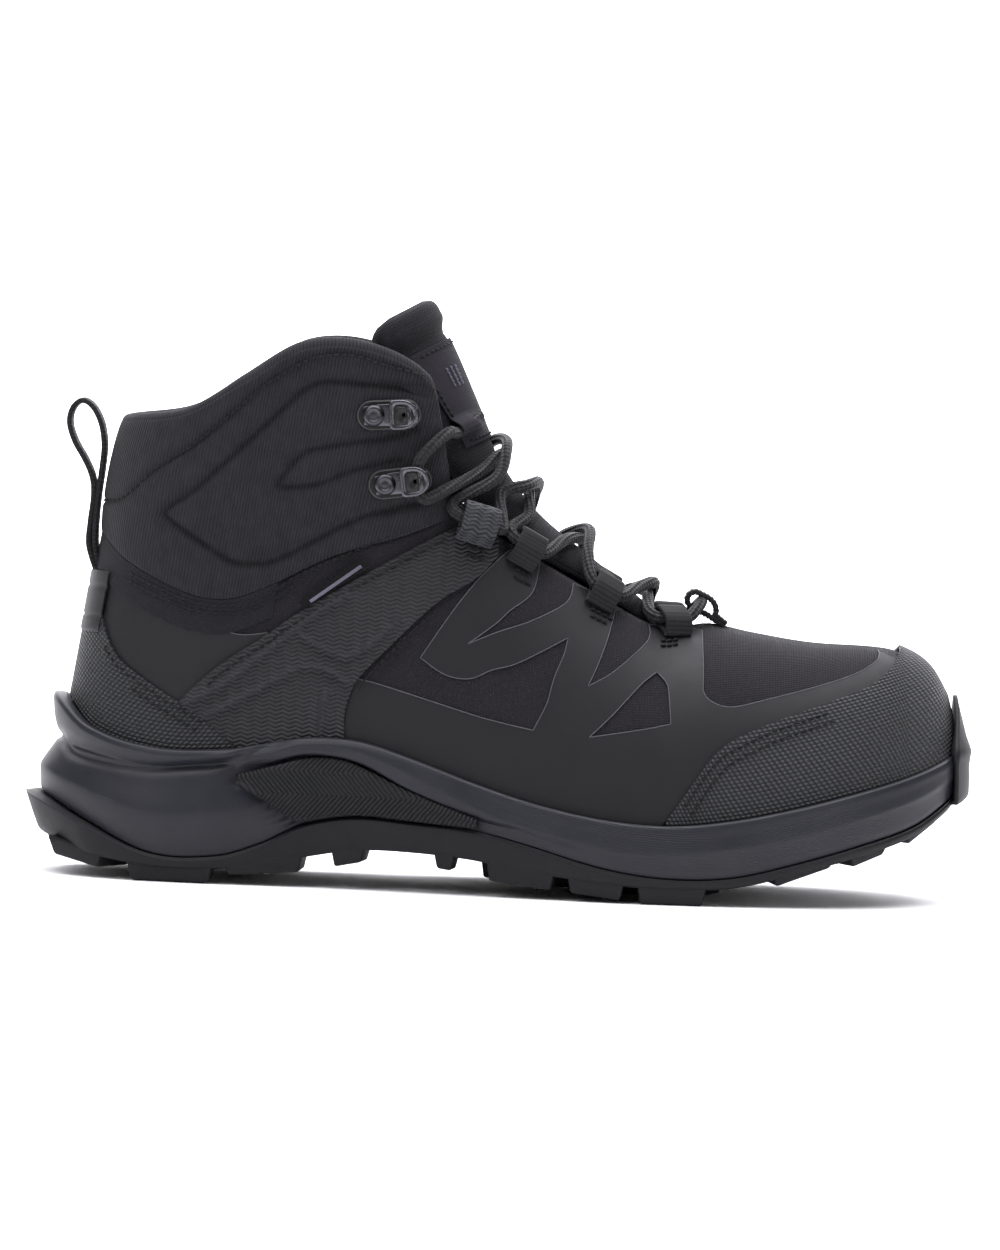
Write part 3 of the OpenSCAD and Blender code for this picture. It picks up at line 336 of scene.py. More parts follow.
def weld(obj, distance=0.02):
    bm = bmesh.new()
    bm.from_mesh(obj.data)
    bmesh.ops.remove_doubles(bm, verts=bm.verts, dist=distance * MM)
    bmesh.ops.recalc_face_normals(bm, faces=bm.faces)
    bm.to_mesh(obj.data)
    bm.free()
    return obj


def thicken(obj, thickness, edge=0.0, segments=2):
    """Gives a sheet its thickness inwards, with its rim rounded."""
    shell = obj.modifiers.new("thickness", "SOLIDIFY")
    shell.thickness = thickness * MM
    shell.offset = -1
    shell.use_even_offset = False
    if edge:
        bevel = obj.modifiers.new("edge", "BEVEL")
        bevel.width = edge * MM
        bevel.segments = segments
        bevel.limit_method = "ANGLE"
        bevel.angle_limit = math.radians(50)
        bevel.harden_normals = True
    return obj


def wrap(s_end, n, toe=False):
    """Columns joined round the heel, or the toe: side and s of each."""
    q = np.linspace(-1, 1, 2 * n + 1)
    side = np.where(q < 0, LATERAL, MEDIAL)
    return (side, 1 - np.abs(q) * (1 - s_end)) if toe else (side, np.abs(q) * s_end)


def arc_lengths(points):
    step = np.linalg.norm(np.diff(points, axis=0), axis=-1)
    return np.concatenate([np.zeros((1,) + step.shape[1:]), np.cumsum(step, 0)])


def weave_uv(points):
    """Texture places in millimetres along the columns and up the rows of a grid."""
    middle = points.shape[1] // 2
    across = arc_lengths(points[:, middle])
    across = across - across[len(across) // 2]
    up = arc_lengths(points.transpose(1, 0, 2)).T
    return np.stack([np.broadcast_to(across[:, None], up.shape), up], -1)


def skin_grid(side, s, low, high, rows, off, round_top=0.0):
    """Grid of points on the upper; off is a function of side, s, t and the points' x, z."""
    v = np.linspace(0, 1, rows)
    v = v + (np.sin(np.pi / 2 * v) - v) * round_top
    t = low[:, None] + (high - low)[:, None] * v[None]
    side2, s2 = np.broadcast_to(side[:, None], t.shape), np.broadcast_to(s[:, None], t.shape)
    base = skin(side2, s2, t)
    return on_skin(side2, s2, t, off(side2, s2, t, base)), t


def drape_sheet(name, outline, side, off, material, slot, holes=(), cell=3.0, relief=None,
                painted_shading=None):
    """A sheet cut to an outline in the side view and laid on the upper at distance off."""
    bm = bmesh.new()
    for loop in [outline, *holes]:
        ring = [bm.verts.new((p[0], 0, p[1])) for p in loop]
        for i in range(len(ring)):
            bm.edges.new((ring[i], ring[(i + 1) % len(ring)]))
    bmesh.ops.triangle_fill(bm, use_beauty=True, edges=bm.edges)
    low, high = np.min(outline, 0), np.max(outline, 0)
    for axis, i in (((1, 0, 0), 0), ((0, 0, 1), 1)):
        for value in np.arange(low[i] + cell / 2, high[i], cell):
            where = (value, 0, 0) if i == 0 else (0, 0, value)
            bmesh.ops.bisect_plane(bm, geom=bm.verts[:] + bm.edges[:] + bm.faces[:], plane_co=where,
                                   plane_no=axis, dist=1e-4)
    mesh = bpy.data.meshes.new(name)
    bm.to_mesh(mesh)
    bm.free()
    co = np.array([v.co for v in mesh.vertices])
    xz = co[:, [0, 2]]
    lift = np.full(len(xz), float(off)) if relief is None else off + relief(xz)
    faces = [tuple(f.vertices) for f in mesh.polygons]
    obj = make(name, draped(side, xz, lift), faces, material, slot, uv=xz,
               painted_shading=None if painted_shading is None else painted_shading(xz))
    bpy.data.meshes.remove(mesh)
    bm = bmesh.new()
    bm.from_mesh(obj.data)
    bmesh.ops.recalc_face_normals(bm, faces=bm.faces)
    facing = sum(f.normal.y * f.calc_area() for f in bm.faces)
    if facing * side < 0:
        bmesh.ops.reverse_faces(bm, faces=bm.faces)
    bm.to_mesh(obj.data)
    bm.free()
    return obj


def frames_along(points, first=None):
    """A direction square to the line at each point, carried along without twisting."""
    ahead = unit(np.gradient(points, axis=0))
    u = np.array(first if first is not None else ([1, 0, 0] if abs(ahead[0][2]) > 0.9 else [0, 0, 1]),
                 float)
    out = []
    for d in ahead:
        u = unit(u - (u @ d) * d)
        out.append(u)
    return ahead, np.array(out)


def sweep(points, section, first=None, closed_section=True, ups=None):
    """Sweeps a section, an array of (across, up) or one per point, along the points."""
    ahead, u = frames_along(points, first)
    if ups is not None:
        u = unit(ups - (ups * ahead).sum(-1, keepdims=True) * ahead)
    w = np.cross(ahead, u)
    section = np.broadcast_to(section, (len(points),) + np.shape(section)[-2:])
    verts = points[:, None] + section[..., :1] * w[:, None] + section[..., 1:] * u[:, None]
    n, m = verts.shape[:2]
    faces = grid_faces(n, m, close_m=closed_section)
    if closed_section:
        faces += [tuple(range(m)), tuple(range((n - 1) * m, n * m))[::-1]]
    around = np.linspace(0, 1, m, endpoint=False)
    uv = np.stack([np.broadcast_to(arc_lengths(points)[:, None], (n, m)),
                   np.broadcast_to(around[None], (n, m)) * 10], -1)
    return verts.reshape(-1, 3), faces, uv.reshape(-1, 2)


def circle(r, n):
    a = np.linspace(0, 2 * np.pi, n, endpoint=False)
    return np.stack([r * np.cos(a), r * np.sin(a)], -1)


def blunt_oval(half_wide, half_thick, n, square=0.25):
    """Section of a strip with rounded edges."""
    k = np.linspace(0, 2 * np.pi, n, endpoint=False)
    c, d = np.cos(k), np.sin(k)
    return np.stack([np.sign(c) * np.abs(c) ** square * half_wide,
                     np.sign(d) * np.abs(d) ** 0.5 * half_thick], -1)


def join_lists(parts):
    """One list of points and faces from several."""
    verts, faces, uvs, base = [], [], [], 0
    for v, f, uv in parts:
        v = np.asarray(v).reshape(-1, 3)
        verts.append(v)
        uvs.append(np.asarray(uv).reshape(-1, 2))
        faces += [tuple(i + base for i in face) for face in f]
        base += len(v)
    return np.concatenate(verts), faces, np.concatenate(uvs)


def stitch_row(line, normals, pitch=2.6, long=1.9, r=0.34):
    """Short rounded stitches along a line of points on a surface."""
    length = arc_lengths(line)
    parts = []
    for start in np.arange(pitch / 2, length[-1] - long, pitch):
        at = np.array([start, start + 0.2 * long, start + 0.5 * long, start + 0.8 * long, start + long])
        p = np.stack([np.interp(at, length, line[:, i]) for i in range(3)], -1)
        n = np.stack([np.interp(at, length, normals[:, i]) for i in range(3)], -1)
        p = p + n * (r * np.array([-0.6, 0.5, 0.9, 0.5, -0.6]))[:, None]
        scale = np.array([0.5, 0.95, 1, 0.95, 0.5])[:, None, None]
        parts.append(sweep(p, circle(r, 6) * scale, ups=n))
    return parts


def stitches(name, lines, material, slot="upper_fabric", body="boot", **kw):
    """lines are (side, points in the side view, distance from the skin)."""
    parts = []
    for side, xz, off in lines:
        xz = rounded(xz, 1.0)
        s, t = place_at(xz[:, 0], xz[:, 1])
        t = np.minimum(t, 0.9999)
        parts += stitch_row(on_skin(side, s, t, np.full(len(s), float(off))), skin_normal(side, s, t),
                            **kw)
    return make_part(name, join_lists(parts), material, slot, body)


# ---- Materials ----

def srgb(r, g, b, share=1.0):
    def line(v):
        v /= 255
        return share * (v / 12.92 if v <= 0.04045 else ((v + 0.055) / 1.055) ** 2.4)
    return (line(r), line(g), line(b), 1)


# Part of each seen colour that is the piece's own, the rest being its sheen.
OWN = 0.5


class Graph:
    """The nodes of one material, with its Principled shader."""

    def __init__(self, name, color, rough, **values):
        self.mat = bpy.data.materials.new(name)
        self.mat.use_nodes = True
        self.tree = self.mat.node_tree
        self.shader = self.tree.nodes["Principled BSDF"]
        self.own = values.pop("own", OWN)
        self.shader.inputs["Base Color"].default_value = srgb(*color, self.own)
        self.shader.inputs["Roughness"].default_value = rough
        for key, value in values.items():
            self.shader.inputs[key.replace("_", " ")].default_value = value
        self.color = color

    def add(self, kind, *inputs, **props):
        node = self.tree.nodes.new("ShaderNode" + kind)
        for key, value in props.items():
            setattr(node, key, value)
        for i, value in enumerate(inputs):
            if value is None:
                continue
            if isinstance(value, bpy.types.NodeSocket):
                self.tree.links.new(value, node.inputs[i])
            else:
                node.inputs[i].default_value = value
        return node

    def math(self, how, *inputs):
        return self.add("Math", *inputs, operation=how).outputs[0]

    def uv(self):
        """The two texture places of a point, in metres."""
        place = self.add("UVMap", uv_map="weave").outputs[0]
        parts = self.add("SeparateXYZ", place)
        return parts.outputs[0], parts.outputs[1]

    def at(self):
        return self.add("TexCoord").outputs["Object"]

    def noise(self, scale, detail=3.0, where=None):
        node = self.add("TexNoise", where or self.at())
        node.inputs["Scale"].default_value = scale
        node.inputs["Detail"].default_value = detail
        return node.outputs["Fac"]

    def wave(self, place, pitch):
        """Rounded ridges with the given pitch in millimetres, from 0 to 1."""
        angle = self.math("MULTIPLY", place, math.pi / (pitch * MM))
        return self.math("ABSOLUTE", self.math("SINE", angle))

    def shade(self, fac, dark, light):
        """Base colour between two multiples of the material's colour, darkened by painted shade and
        lightened by painted highlight where the mesh carries them.
        """
        # Painted shade and painted highlight from the mesh: darker where the value is positive, lighter
        # where negative.
        painted_shading_value = self.add("Attribute", attribute_name="painted_shading").outputs["Fac"]
        ramp = self.add("ValToRGB", self.math("SUBTRACT", fac, self.math("MULTIPLY", painted_shading_value, 0.6)))
        for element, k in zip(ramp.color_ramp.elements, (dark, light)):
            element.color = srgb(*(min(255, c * k) for c in self.color), self.own)
        self.tree.links.new(ramp.outputs[0], self.shader.inputs["Base Color"])

    def vary(self, fac, low, high, socket="Roughness"):
        node = self.add("MapRange", fac)
        node.inputs["To Min"].default_value = low
        node.inputs["To Max"].default_value = high
        self.tree.links.new(node.outputs[0], self.shader.inputs[socket])

    def vary_fac(self, fac):
        """A factor that is 0 on part of the surface and rises to 1 on the rest."""
        node = self.add("MapRange", fac)
        node.inputs["From Min"].default_value = 0.45
        node.inputs["From Max"].default_value = 0.6
        return node.outputs[0]

    def bump(self, height, millimetres, strength=1.0):
        node = self.add("Bump")
        node.inputs["Strength"].default_value = strength
        node.inputs["Distance"].default_value = millimetres * MM
        self.tree.links.new(height, node.inputs["Height"])
        self.tree.links.new(node.outputs[0], self.shader.inputs["Normal"])
        return self.mat


def woven(name, color, pitch, depth, rough=0.8, heather=0.5, sheen=0.25):
    """Plain weave with threads of slightly different shades."""
    g = Graph(name, color, rough, Sheen_Weight=0.15 * sheen, Specular_IOR_Level=0.12)
    u, v = g.uv()
    threads = g.math("MULTIPLY", g.wave(u, pitch), g.wave(v, pitch))
    fleck = g.noise(1400, 2)
    blotch = g.noise(70, 3)
    spots = g.math("ADD", g.math("MULTIPLY", fleck, 0.75), g.math("MULTIPLY", blotch, 0.2))
    tone = g.math("ADD", g.math("MULTIPLY", threads, 0.35), spots)
    g.shade(g.math("SUBTRACT", tone, 0.2), 1 - heather, 1 + heather)
    return g.bump(g.math("ADD", threads, g.math("MULTIPLY", fleck, 0.6)), depth)


def dotted(name, color):
    """Coarse mesh filled with rubber: lighter dots in rows."""
    g = Graph(name, color, 0.6, Specular_IOR_Level=0.3)
    u, v = g.uv()
    dots = g.math("MULTIPLY", g.wave(g.math("ADD", u, g.math("MULTIPLY", v, 0.71)), 1.85),
                  g.wave(v, 1.3))
    g.shade(dots, 0.25, 2.0)
    g.vary(dots, 0.75, 0.42)
    return g.bump(g.math("ADD", dots, g.math("MULTIPLY", g.noise(900, 2), 0.25)), 0.42)


def ribbed(name, color, pitch, depth):
    """Knitted softshell with fine ribs."""
    g = Graph(name, color, 0.78, Sheen_Weight=0.04, Specular_IOR_Level=0.12)
    u, v = g.uv()
    ribs = g.wave(g.math("ADD", u, g.math("MULTIPLY", g.noise(60, 2), 0.0006)), pitch)
    stitch = g.math("MULTIPLY", ribs,
                    g.math("ADD", 0.8, g.math("MULTIPLY", g.wave(v, pitch * 0.8), 0.2)))
    g.shade(g.math("ADD", g.math("MULTIPLY", stitch, 0.5), g.math("MULTIPLY", g.noise(240, 4), 0.5)),
            0.45, 1.6)
    return g.bump(stitch, depth)


def twill(name, color, pitch, depth, band=9.0, slope=1.0, rough=0.5, along=True):
    """Diagonal ridges that turn back at every band, like herringbone."""
    g = Graph(name, color, rough, Specular_IOR_Level=0.22)
    u, v = g.uv()
    zigzag = g.math("PINGPONG", v if along else u, band * MM)
    lines = g.wave(g.math("ADD", u if along else v, g.math("MULTIPLY", zigzag, slope)), pitch)
    g.shade(lines, 0.4, 1.9)
    g.vary(g.noise(300, 2), rough - 0.08, rough + 0.12)
    return g.bump(lines, depth)


def rubber(name, color, rough, grain=0.06, scale=900, wear=0.15, spec=0.2):
    g = Graph(name, color, rough, Specular_IOR_Level=spec)
    blotch = g.noise(45, 4)
    g.shade(blotch, 1 - wear, 1 + wear)
    g.vary(g.noise(120, 4), rough - 0.07, rough + 0.09)
    return g.bump(g.noise(scale, 3), grain)


def corded(name, color, cords, pitch, flecks=0.15):
    """Braid or webbing: cords along the length, crossed by the weft, with light flecks."""
    g = Graph(name, color, 0.62, Sheen_Weight=0.04, Specular_IOR_Level=0.2)
    u, v = g.uv()
    rib = g.wave(v, 10 / cords)
    weft = g.wave(g.math("ADD", u, g.math("MULTIPLY", v, 0.12)), pitch)
    height = g.math("ADD", rib, g.math("MULTIPLY", weft, 0.55))
    fleck = g.math("MULTIPLY", g.math("GREATER_THAN", g.noise(900, 1), 0.6), weft)
    g.shade(g.math("ADD", g.math("MULTIPLY", height, 0.2), g.math("MULTIPLY", fleck, flecks)), 0.4, 3.2)
    return g.bump(height, 0.3)


def grosgrain(name, color):
    """Webbing whose ribs are in the mesh: only the fuzz of its threads."""
    g = Graph(name, color, 0.7, Sheen_Weight=0.04, Specular_IOR_Level=0.15)
    u, v = g.uv()
    threads = g.math("MULTIPLY", g.wave(u, 1.35),
                     g.math("ADD", 0.7, g.math("MULTIPLY", g.wave(v, 0.5), 0.3)))
    g.shade(g.math("ADD", g.math("MULTIPLY", threads, 0.5), g.math("MULTIPLY", g.noise(900, 2), 0.3)),
            0.5, 2.2)
    return g.bump(threads, 0.15)


def moulded(name, color, rough):
    """Foam with a skin brushed by fine lines along the sole."""
    g = Graph(name, color, rough, Specular_IOR_Level=0.3)
    _, v = g.uv()
    lines = g.math("MULTIPLY", g.wave(v, 0.75), g.vary_fac(g.noise(28, 2)))
    g.shade(g.noise(45, 4), 0.9, 1.12)
    g.vary(g.noise(120, 4), rough - 0.07, rough + 0.09)
    return g.bump(g.math("ADD", lines, g.math("MULTIPLY", g.noise(500, 3), 0.3)), 0.05)


def metal(name, color, rough):
    g = Graph(name, color, rough, Metallic=1.0, own=1.0)
    g.vary(g.noise(260, 4), rough - 0.06, rough + 0.1)
    return g.bump(g.noise(1400, 2), 0.012)


TEXTILE = woven("textile", (41, 39, 43), 0.9, 0.16, heather=0.4)
CAP = dotted("rubberised_mesh", (34, 35, 37))
COLLAR = ribbed("softshell", (38, 38, 41), 1.15, 0.2)
RIM_CLOTH = ribbed("rim_softshell", (38, 38, 42), 1.15, 0.14)
BAND = woven("band_cloth", (40, 40, 44), 0.8, 0.12, heather=0.25)
TONGUE_CLOTH = woven("tongue_cloth", (40, 39, 43), 1.0, 0.15, heather=0.3)
LINING = woven("lining_mesh", (36, 36, 39), 1.6, 0.3, heather=0.3, sheen=0.4)
FILM = rubber("film", (38, 37, 40), 0.52, 0.015, 500, 0.05)
# Light colour of the film's cut edge: a painted highlight along its rim.
FILM_EDGE_HIGHLIGHT = rubber("film_edge_highlight", (104, 104, 108), 0.5, 0.01, 500, 0.05)
STRAP = twill("embossed_overlay", (27, 27, 29), 1.35, 0.35, band=2.2, slope=0.4, along=False)
STRAP_TOP = twill("folded_overlay", (38, 39, 42), 1.3, 0.3, band=2.2, slope=0.4)
CHEVRON = twill("chevron_insert", (20, 20, 22), 1.6, 0.4, band=7.5, slope=0.9)
MIDSOLE = moulded("midsole_foam", (38, 39, 48), 0.45)
OUTSOLE = rubber("outsole_rubber", (33, 33, 36), 0.56, 0.05, 700, 0.18)
THREAD = rubber("thread", (24, 24, 26), 0.6, 0.03, 2500, 0.1)
LACE_CORD = corded("lace_braid", (23, 23, 24), 8, 1.6, 0.35)
WEBBING = grosgrain("webbing", (25, 25, 26))
PLATE = rubber("hook_plate", (12, 12, 13), 0.4, 0.01, 300, 0.05, 0.3)
PLATE_EDGE = rubber("hook_plate_edge", (98, 98, 100), 0.4, 0.01, 300, 0.05)
NICKEL = metal("dark_nickel", (80, 80, 84), 0.26)
EYELET = metal("rivet_nickel", (66, 66, 70), 0.3)
RECESS = rubber("hook_recess", (20, 20, 21), 0.4, 0.01, 300, 0.05, 0.3)
PATCH = woven("patch_cloth", (52, 50, 57), 0.7, 0.08, heather=0.2)
BADGE = rubber("badge", (42, 42, 45), 0.5, 0.03, 600, 0.08)
TAG_CLOTH = woven("tag_cloth", (22, 22, 23), 0.6, 0.08, heather=0.2)
MARK = rubber("mark_thread", (118, 116, 132), 0.6, 0.03, 2500, 0.1)
BOARD = rubber("fibre_board", (150, 135, 110), 0.9, 0.05, 900, 0.1)
STEEL = metal("shank_steel", (150, 150, 155), 0.35)
FOOTBED = woven("footbed_cloth", (60, 60, 64), 1.3, 0.2, heather=0.3)


# ---- Camera and lace ----

PICTURE_HIGH = 0.40625
DISTANCE = 2.6
ELEVATION = math.radians(2.6)
ROLL = math.radians(2.28)
AIM = Vector((-0.0019, 0, 0.0849))
camera = bpy.data.objects.new("camera", bpy.data.cameras.new("camera"))
bpy.context.scene.collection.objects.link(camera)
camera.data.sensor_width = 36
camera.data.lens = 36 * DISTANCE / PICTURE_HIGH
back = Vector((0, -math.cos(ELEVATION), math.sin(ELEVATION)))
camera.location = AIM + back * DISTANCE
turn = (-back).to_track_quat("-Z", "Y")
camera.rotation_mode = "QUATERNION"
camera.rotation_quaternion = turn @ Matrix.Rotation(ROLL, 4, "Z").to_quaternion()
camera.data.clip_start, camera.data.clip_end = 0.1, 20
bpy.context.scene.camera = camera


def beside(m, x, y, z):
    """A point of the lace's route, on its own side for m = 1 and mirrored in the throat for m = -1."""
    return [x, y if m > 0 else 2 * curve(TOP, max(x, -26))[6] - y, z]


def across(m, v, w, lift=0.0):
    """A point of the route on the tongue."""
    return list(tongue_point(v, m * w, 0.5 + LACE_R + lift * (2 * LACE_R + 0.2)))


def lace_half(m, up):
    return [
        beside(m, 63.1, -1.8, 94.8), beside(m, 61.4, -7, 92.6), beside(m, 58, -11.1, 90),
        beside(m, 49.4, -15.3, 90.1), beside(m, 46.4, -14.4, 91.6),
        across(m, 0.235, -0.6, 0.5 * up), across(m, 0.25, 0, up), across(m, 0.27, 0.5, 0.5 * up),
        beside(m, 36, 22.4, 96.7), beside(m, 27.6, 23.3, 101.3),
        across(m, 0.385, 0.6, 0.5 * up), across(m, 0.405, 0, up), across(m, 0.43, -0.55, 0.5 * up),
        beside(m, 10.7, -25.3, 109.6), beside(m, 2.4, -27, 114.1), beside(m, 0.4, -24.6, 117.4),
        across(m, 0.51, -0.7), across(m, 0.53, -0.4, 0.8 * up), across(m, 0.545, 0, up),
        across(m, 0.555, 0.4, 0.8 * up), across(m, 0.57, 0.8), beside(m, -2.2, 28.6, 117.6),
        beside(m, -5, 31.2, 117.8), beside(m, -14.5, 32.4, 120.2), beside(m, -18.4, 30.4, 125),
        across(m, 0.6, 0.8, up), across(m, 0.62 + 0.02 * up, 0.4, up),
        across(m, 0.63 + 0.03 * up, 0, 0.4 * up), across(m, 0.635 + 0.03 * up, -0.4),
        across(m, 0.625 + 0.02 * up, -0.85),
        beside(m, -20, -33, 129.6), beside(m, -24, -35.8, 127.2), beside(m, -27.4, -37.6, 125.9),
        beside(m, -29.2, -38, 127.4), beside(m, -29.6, -38, 131.7), beside(m, -30.2, -38, 136),
        beside(m, -29.2, -37.6, 139), beside(m, -25.4, -35, 143.4), beside(m, -20.6, -29, 147.4),
        across(m, 0.712, -0.85), across(m, 0.72, -0.65), across(m, 0.727, -0.42)]


LACE_ROUTE = lace_half(1, 0)[::-1] + lace_half(-1, 1)
LACE_CORDS = 8
line = rounded(LACE_ROUTE, 0.8)
angle = np.linspace(0, 2 * np.pi, 6 * LACE_CORDS, endpoint=False)
turns = arc_lengths(line)[:, None] / 22
bulge = 1 + 0.07 * (np.abs(np.cos(LACE_CORDS / 2 * angle)) - 0.7)
ring = np.stack([LACE_R * bulge * np.cos(angle + turns), LACE_R * bulge * np.sin(angle + turns)], -1)
lace = make_part("lace_cord", sweep(line, ring), LACE_CORD, "lace")
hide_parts("lace")


# ---- Sole ----

COLUMNS = 150


def ring_base():
    """Columns round the sole: side and s, from the heel by the outer side to the toe and back."""
    s = np.linspace(0, 1, COLUMNS + 1)
    return np.concatenate([np.full(COLUMNS + 1, LATERAL),
                           np.full(COLUMNS - 1, MEDIAL)]), np.concatenate([s, s[-2:0:-1]])


RING_SIDE, RING_S = ring_base()


def plan_point(side, s):
    p = skin(side, s, 0)
    p[..., 2] = 0
    return p


def plan_normal(side, s):
    e = 0.004
    d = plan_point(side, np.minimum(s + e, 1)) - plan_point(side, np.maximum(s - e, 0))
    side = np.asarray(side, float)
    return unit(np.stack([-side * d[..., 1], side * d[..., 0], 0 * d[..., 0]], -1))


RING_PLAN, RING_NORMAL = plan_point(RING_SIDE, RING_S), plan_normal(RING_SIDE, RING_S)


def profile_grid(keys, steps, relief=None):
    """keys are (off, z), arrays round the sole, of a closed profile; each is a row of the wall."""
    rows = []
    n = len(keys)
    for i in range(n - 1):
        a, b = np.array(keys[i]), np.array(keys[i + 1])
        before, after = np.array(keys[max(i - 1, 0)]), np.array(keys[min(i + 2, n - 1)])
        m0, m1 = (b - before) / 2.6, (after - a) / 2.6
        for j in range(steps if i < n - 1 else steps + 1):
            t = j / steps
            rows.append(a * (2 * t**3 - 3 * t**2 + 1) + m0 * (t**3 - 2 * t**2 + t)
                        + b * (3 * t**2 - 2 * t**3) + m1 * (t**3 - t**2))
    rows.append(np.array(keys[-1]))
    grid = np.array(rows)
    off, z = grid[:, 0], grid[:, 1]
    points = RING_PLAN[None] + off[..., None] * RING_NORMAL[None]
    points[..., 2] = z
    if relief is not None:
        points = points + relief(points)[..., None] * RING_NORMAL[None]
    return points.transpose(1, 0, 2)


def ring_body(name, points, material, slot, body="boot"):
    n, m = points.shape[:2]
    faces = grid_faces(n, m, close_n=True)
    for j in (0, m - 1):
        for k in range(COLUMNS):
            a, b = k * m + j, (k + 1) * m + j
            c, d = ((n - k - 1) % n) * m + j, ((n - k) % n) * m + j
            quad = [a, b, c, d]
            quad = [q for i, q in enumerate(quad) if q not in quad[:i]]
            if len(quad) > 2:
                faces.append(tuple(quad))
    around = arc_lengths(RING_PLAN)[:, None]
    up = arc_lengths(points.transpose(1, 0, 2)).T
    uv = np.stack([np.broadcast_to(around, up.shape), up], -1)
    obj = make(name, points, faces, material, slot, body, uv=uv)
    return weld(obj, 0.01)


def sole_now(i):
    return sole(RING_S, i)


def mix(a, b, share):
    return a + (b - a) * share


def level(a, b, share):
    return mix(sole_now(a), sole_now(b), share)


ZERO = np.zeros(len(RING_S))
RING_X = foot_x(RING_S)
HEEL_GROOVE = [(-143, 44), (-139, 39), (-129, 37), (-119, 36), (-110, 36), (-100, 37), (-91, 38),
               (-80, 42.5),
               (-70, 46.5)]
HEEL_WINDOW = [(-84, 33.5), (-78, 30), (-70, 24.5), (-62, 20)]


def midsole_relief(p):
    xz = p[..., [0, 2]]
    behind = smooth((-40 - p[..., 0]) / 12)
    cut = groove(xz, [HEEL_GROOVE], 1.4, 1.4) * behind
    step = 1.1 * smooth((near(xz, rounded(HEEL_WINDOW, 2)) - 1.0) / 1.0) - 1.1
    cut = cut - step * behind
    # The rounded rib that frames the arch.
    rib = 0.9 * np.exp(-((near(xz,
                               rounded([(-90, 40), (-72, 43.5), (-60, 45), (-47, 44.5), (-30, 38.5),
                                        (-10, 29.5),
                                            (8, 22), (24, 16)], 3)) / 2.6) ** 2))
    return rib - cut


WALL = [
    (sole_now(LOWER) - 3, sole_now(RUBBER_TOP) + 0.2),
    (sole_now(LOWER) - 0.6, sole_now(RUBBER_TOP) + 0.2),
    (sole_now(LOWER), level(RUBBER_TOP, WAIST, 0.06)),
    (mix(sole_now(LOWER), sole_now(BELLY), 0.7), level(RUBBER_TOP, WAIST, 0.25)),
    (sole_now(BELLY), level(RUBBER_TOP, WAIST, 0.5)),
    (mix(sole_now(BELLY), sole_now(WALL_OUT), 0.6), level(RUBBER_TOP, WAIST, 0.78)),
    (sole_now(WALL_OUT), sole_now(WAIST) - 0.8),
    (sole_now(WAIST_OUT), sole_now(WAIST) + 0.6),
    (mix(sole_now(WAIST_OUT), sole_now(LIP), 0.7), level(WAIST, RIM, 0.45)),
    (sole_now(LIP), sole_now(RIM) - 2),
    (sole_now(LIP) - 0.5, sole_now(RIM) - 0.5),
    (sole_now(LIP) - 1.6, sole_now(RIM)),
    (ZERO + 0.9, sole_now(RIM) - 0.4),
    (ZERO + 0.4, sole_now(RIM) - 3),
    (ZERO + 0.3, curve(FEATHER, RING_X)[:, 1] - 0.4),
]
midsole = ring_body("midsole_shell", profile_grid(WALL, 6, midsole_relief), MIDSOLE, "foam")
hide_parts("midsole")

EDGE = [
    (sole_now(RUBBER) - 3.4 - 3 * smooth((-126 - RING_X) / 12), sole_now(RUBBER_UNDER)),
    (sole_now(RUBBER) - 0.8 - 3.4 * smooth((-126 - RING_X) / 12), sole_now(RUBBER_UNDER) + 0.6),
    (sole_now(RUBBER), sole_now(RUBBER_TOP) - 1.4),
    (sole_now(RUBBER) - 0.3, sole_now(RUBBER_TOP) - 0.6),
    (sole_now(LOWER) + 0.6, sole_now(RUBBER_TOP)),
]
outsole = ring_body("outsole_rubber", profile_grid(EDGE, 4), OUTSOLE, "rubber")
LUG_DRAFT = 1.2
EDGE_LUGS = [
    [-137, -124, 6.2, 3.2, 20], [-117, -91, 0, 0, 24], [-87, -62, 3, 4.6, 21], [-53, -42, 7, 8.8, 15],
    [-20, -13, 8.2, 7.6, 13], [-3, 19, 5, 3, 19], [23, 41, 2.6, 0.8, 22], [45, 67, 0, 0, 25],
    [88, 107, 6.8, 13, 21], [112, 124, 13.4, 17.4, 14], [130, 141, 20.6, 27, 7],
]
CHEVRONS = [
    [-104, 0, 0, 12, 12], [-80, 0, 2.2, 11, 10], [2, -2, 3.6, 15, 10], [22, -1, 1.6, 16, 11],
    [44, 1, 0, 17, 11], [64, 3, 0, 16, 10], [84, 5, 4.8, 15, 10], [104, 7, 10.8, 13, 9],
]
BLOCK = [(0, 1, 2, 3), (7, 6, 5, 4), (0, 4, 5, 1), (1, 5, 6, 2), (2, 6, 7, 3), (3, 7, 4, 0)]


def lug_corners(side, x0, x1, a, b, z0, z1):
    out = []
    for x, inset, z in ((x0, a, z0), (x1, a, z1), (x1, b, z1), (x0, b, z0)):
        s = s_at(x)
        p = plan_point(side, s) + (float(sole(s, RUBBER)) - inset) * plan_normal(side, s)
        out.append([p[0], p[1], z])
    return out


def under(x):
    return float(sole(s_at(x), RUBBER_UNDER)) + 1.5


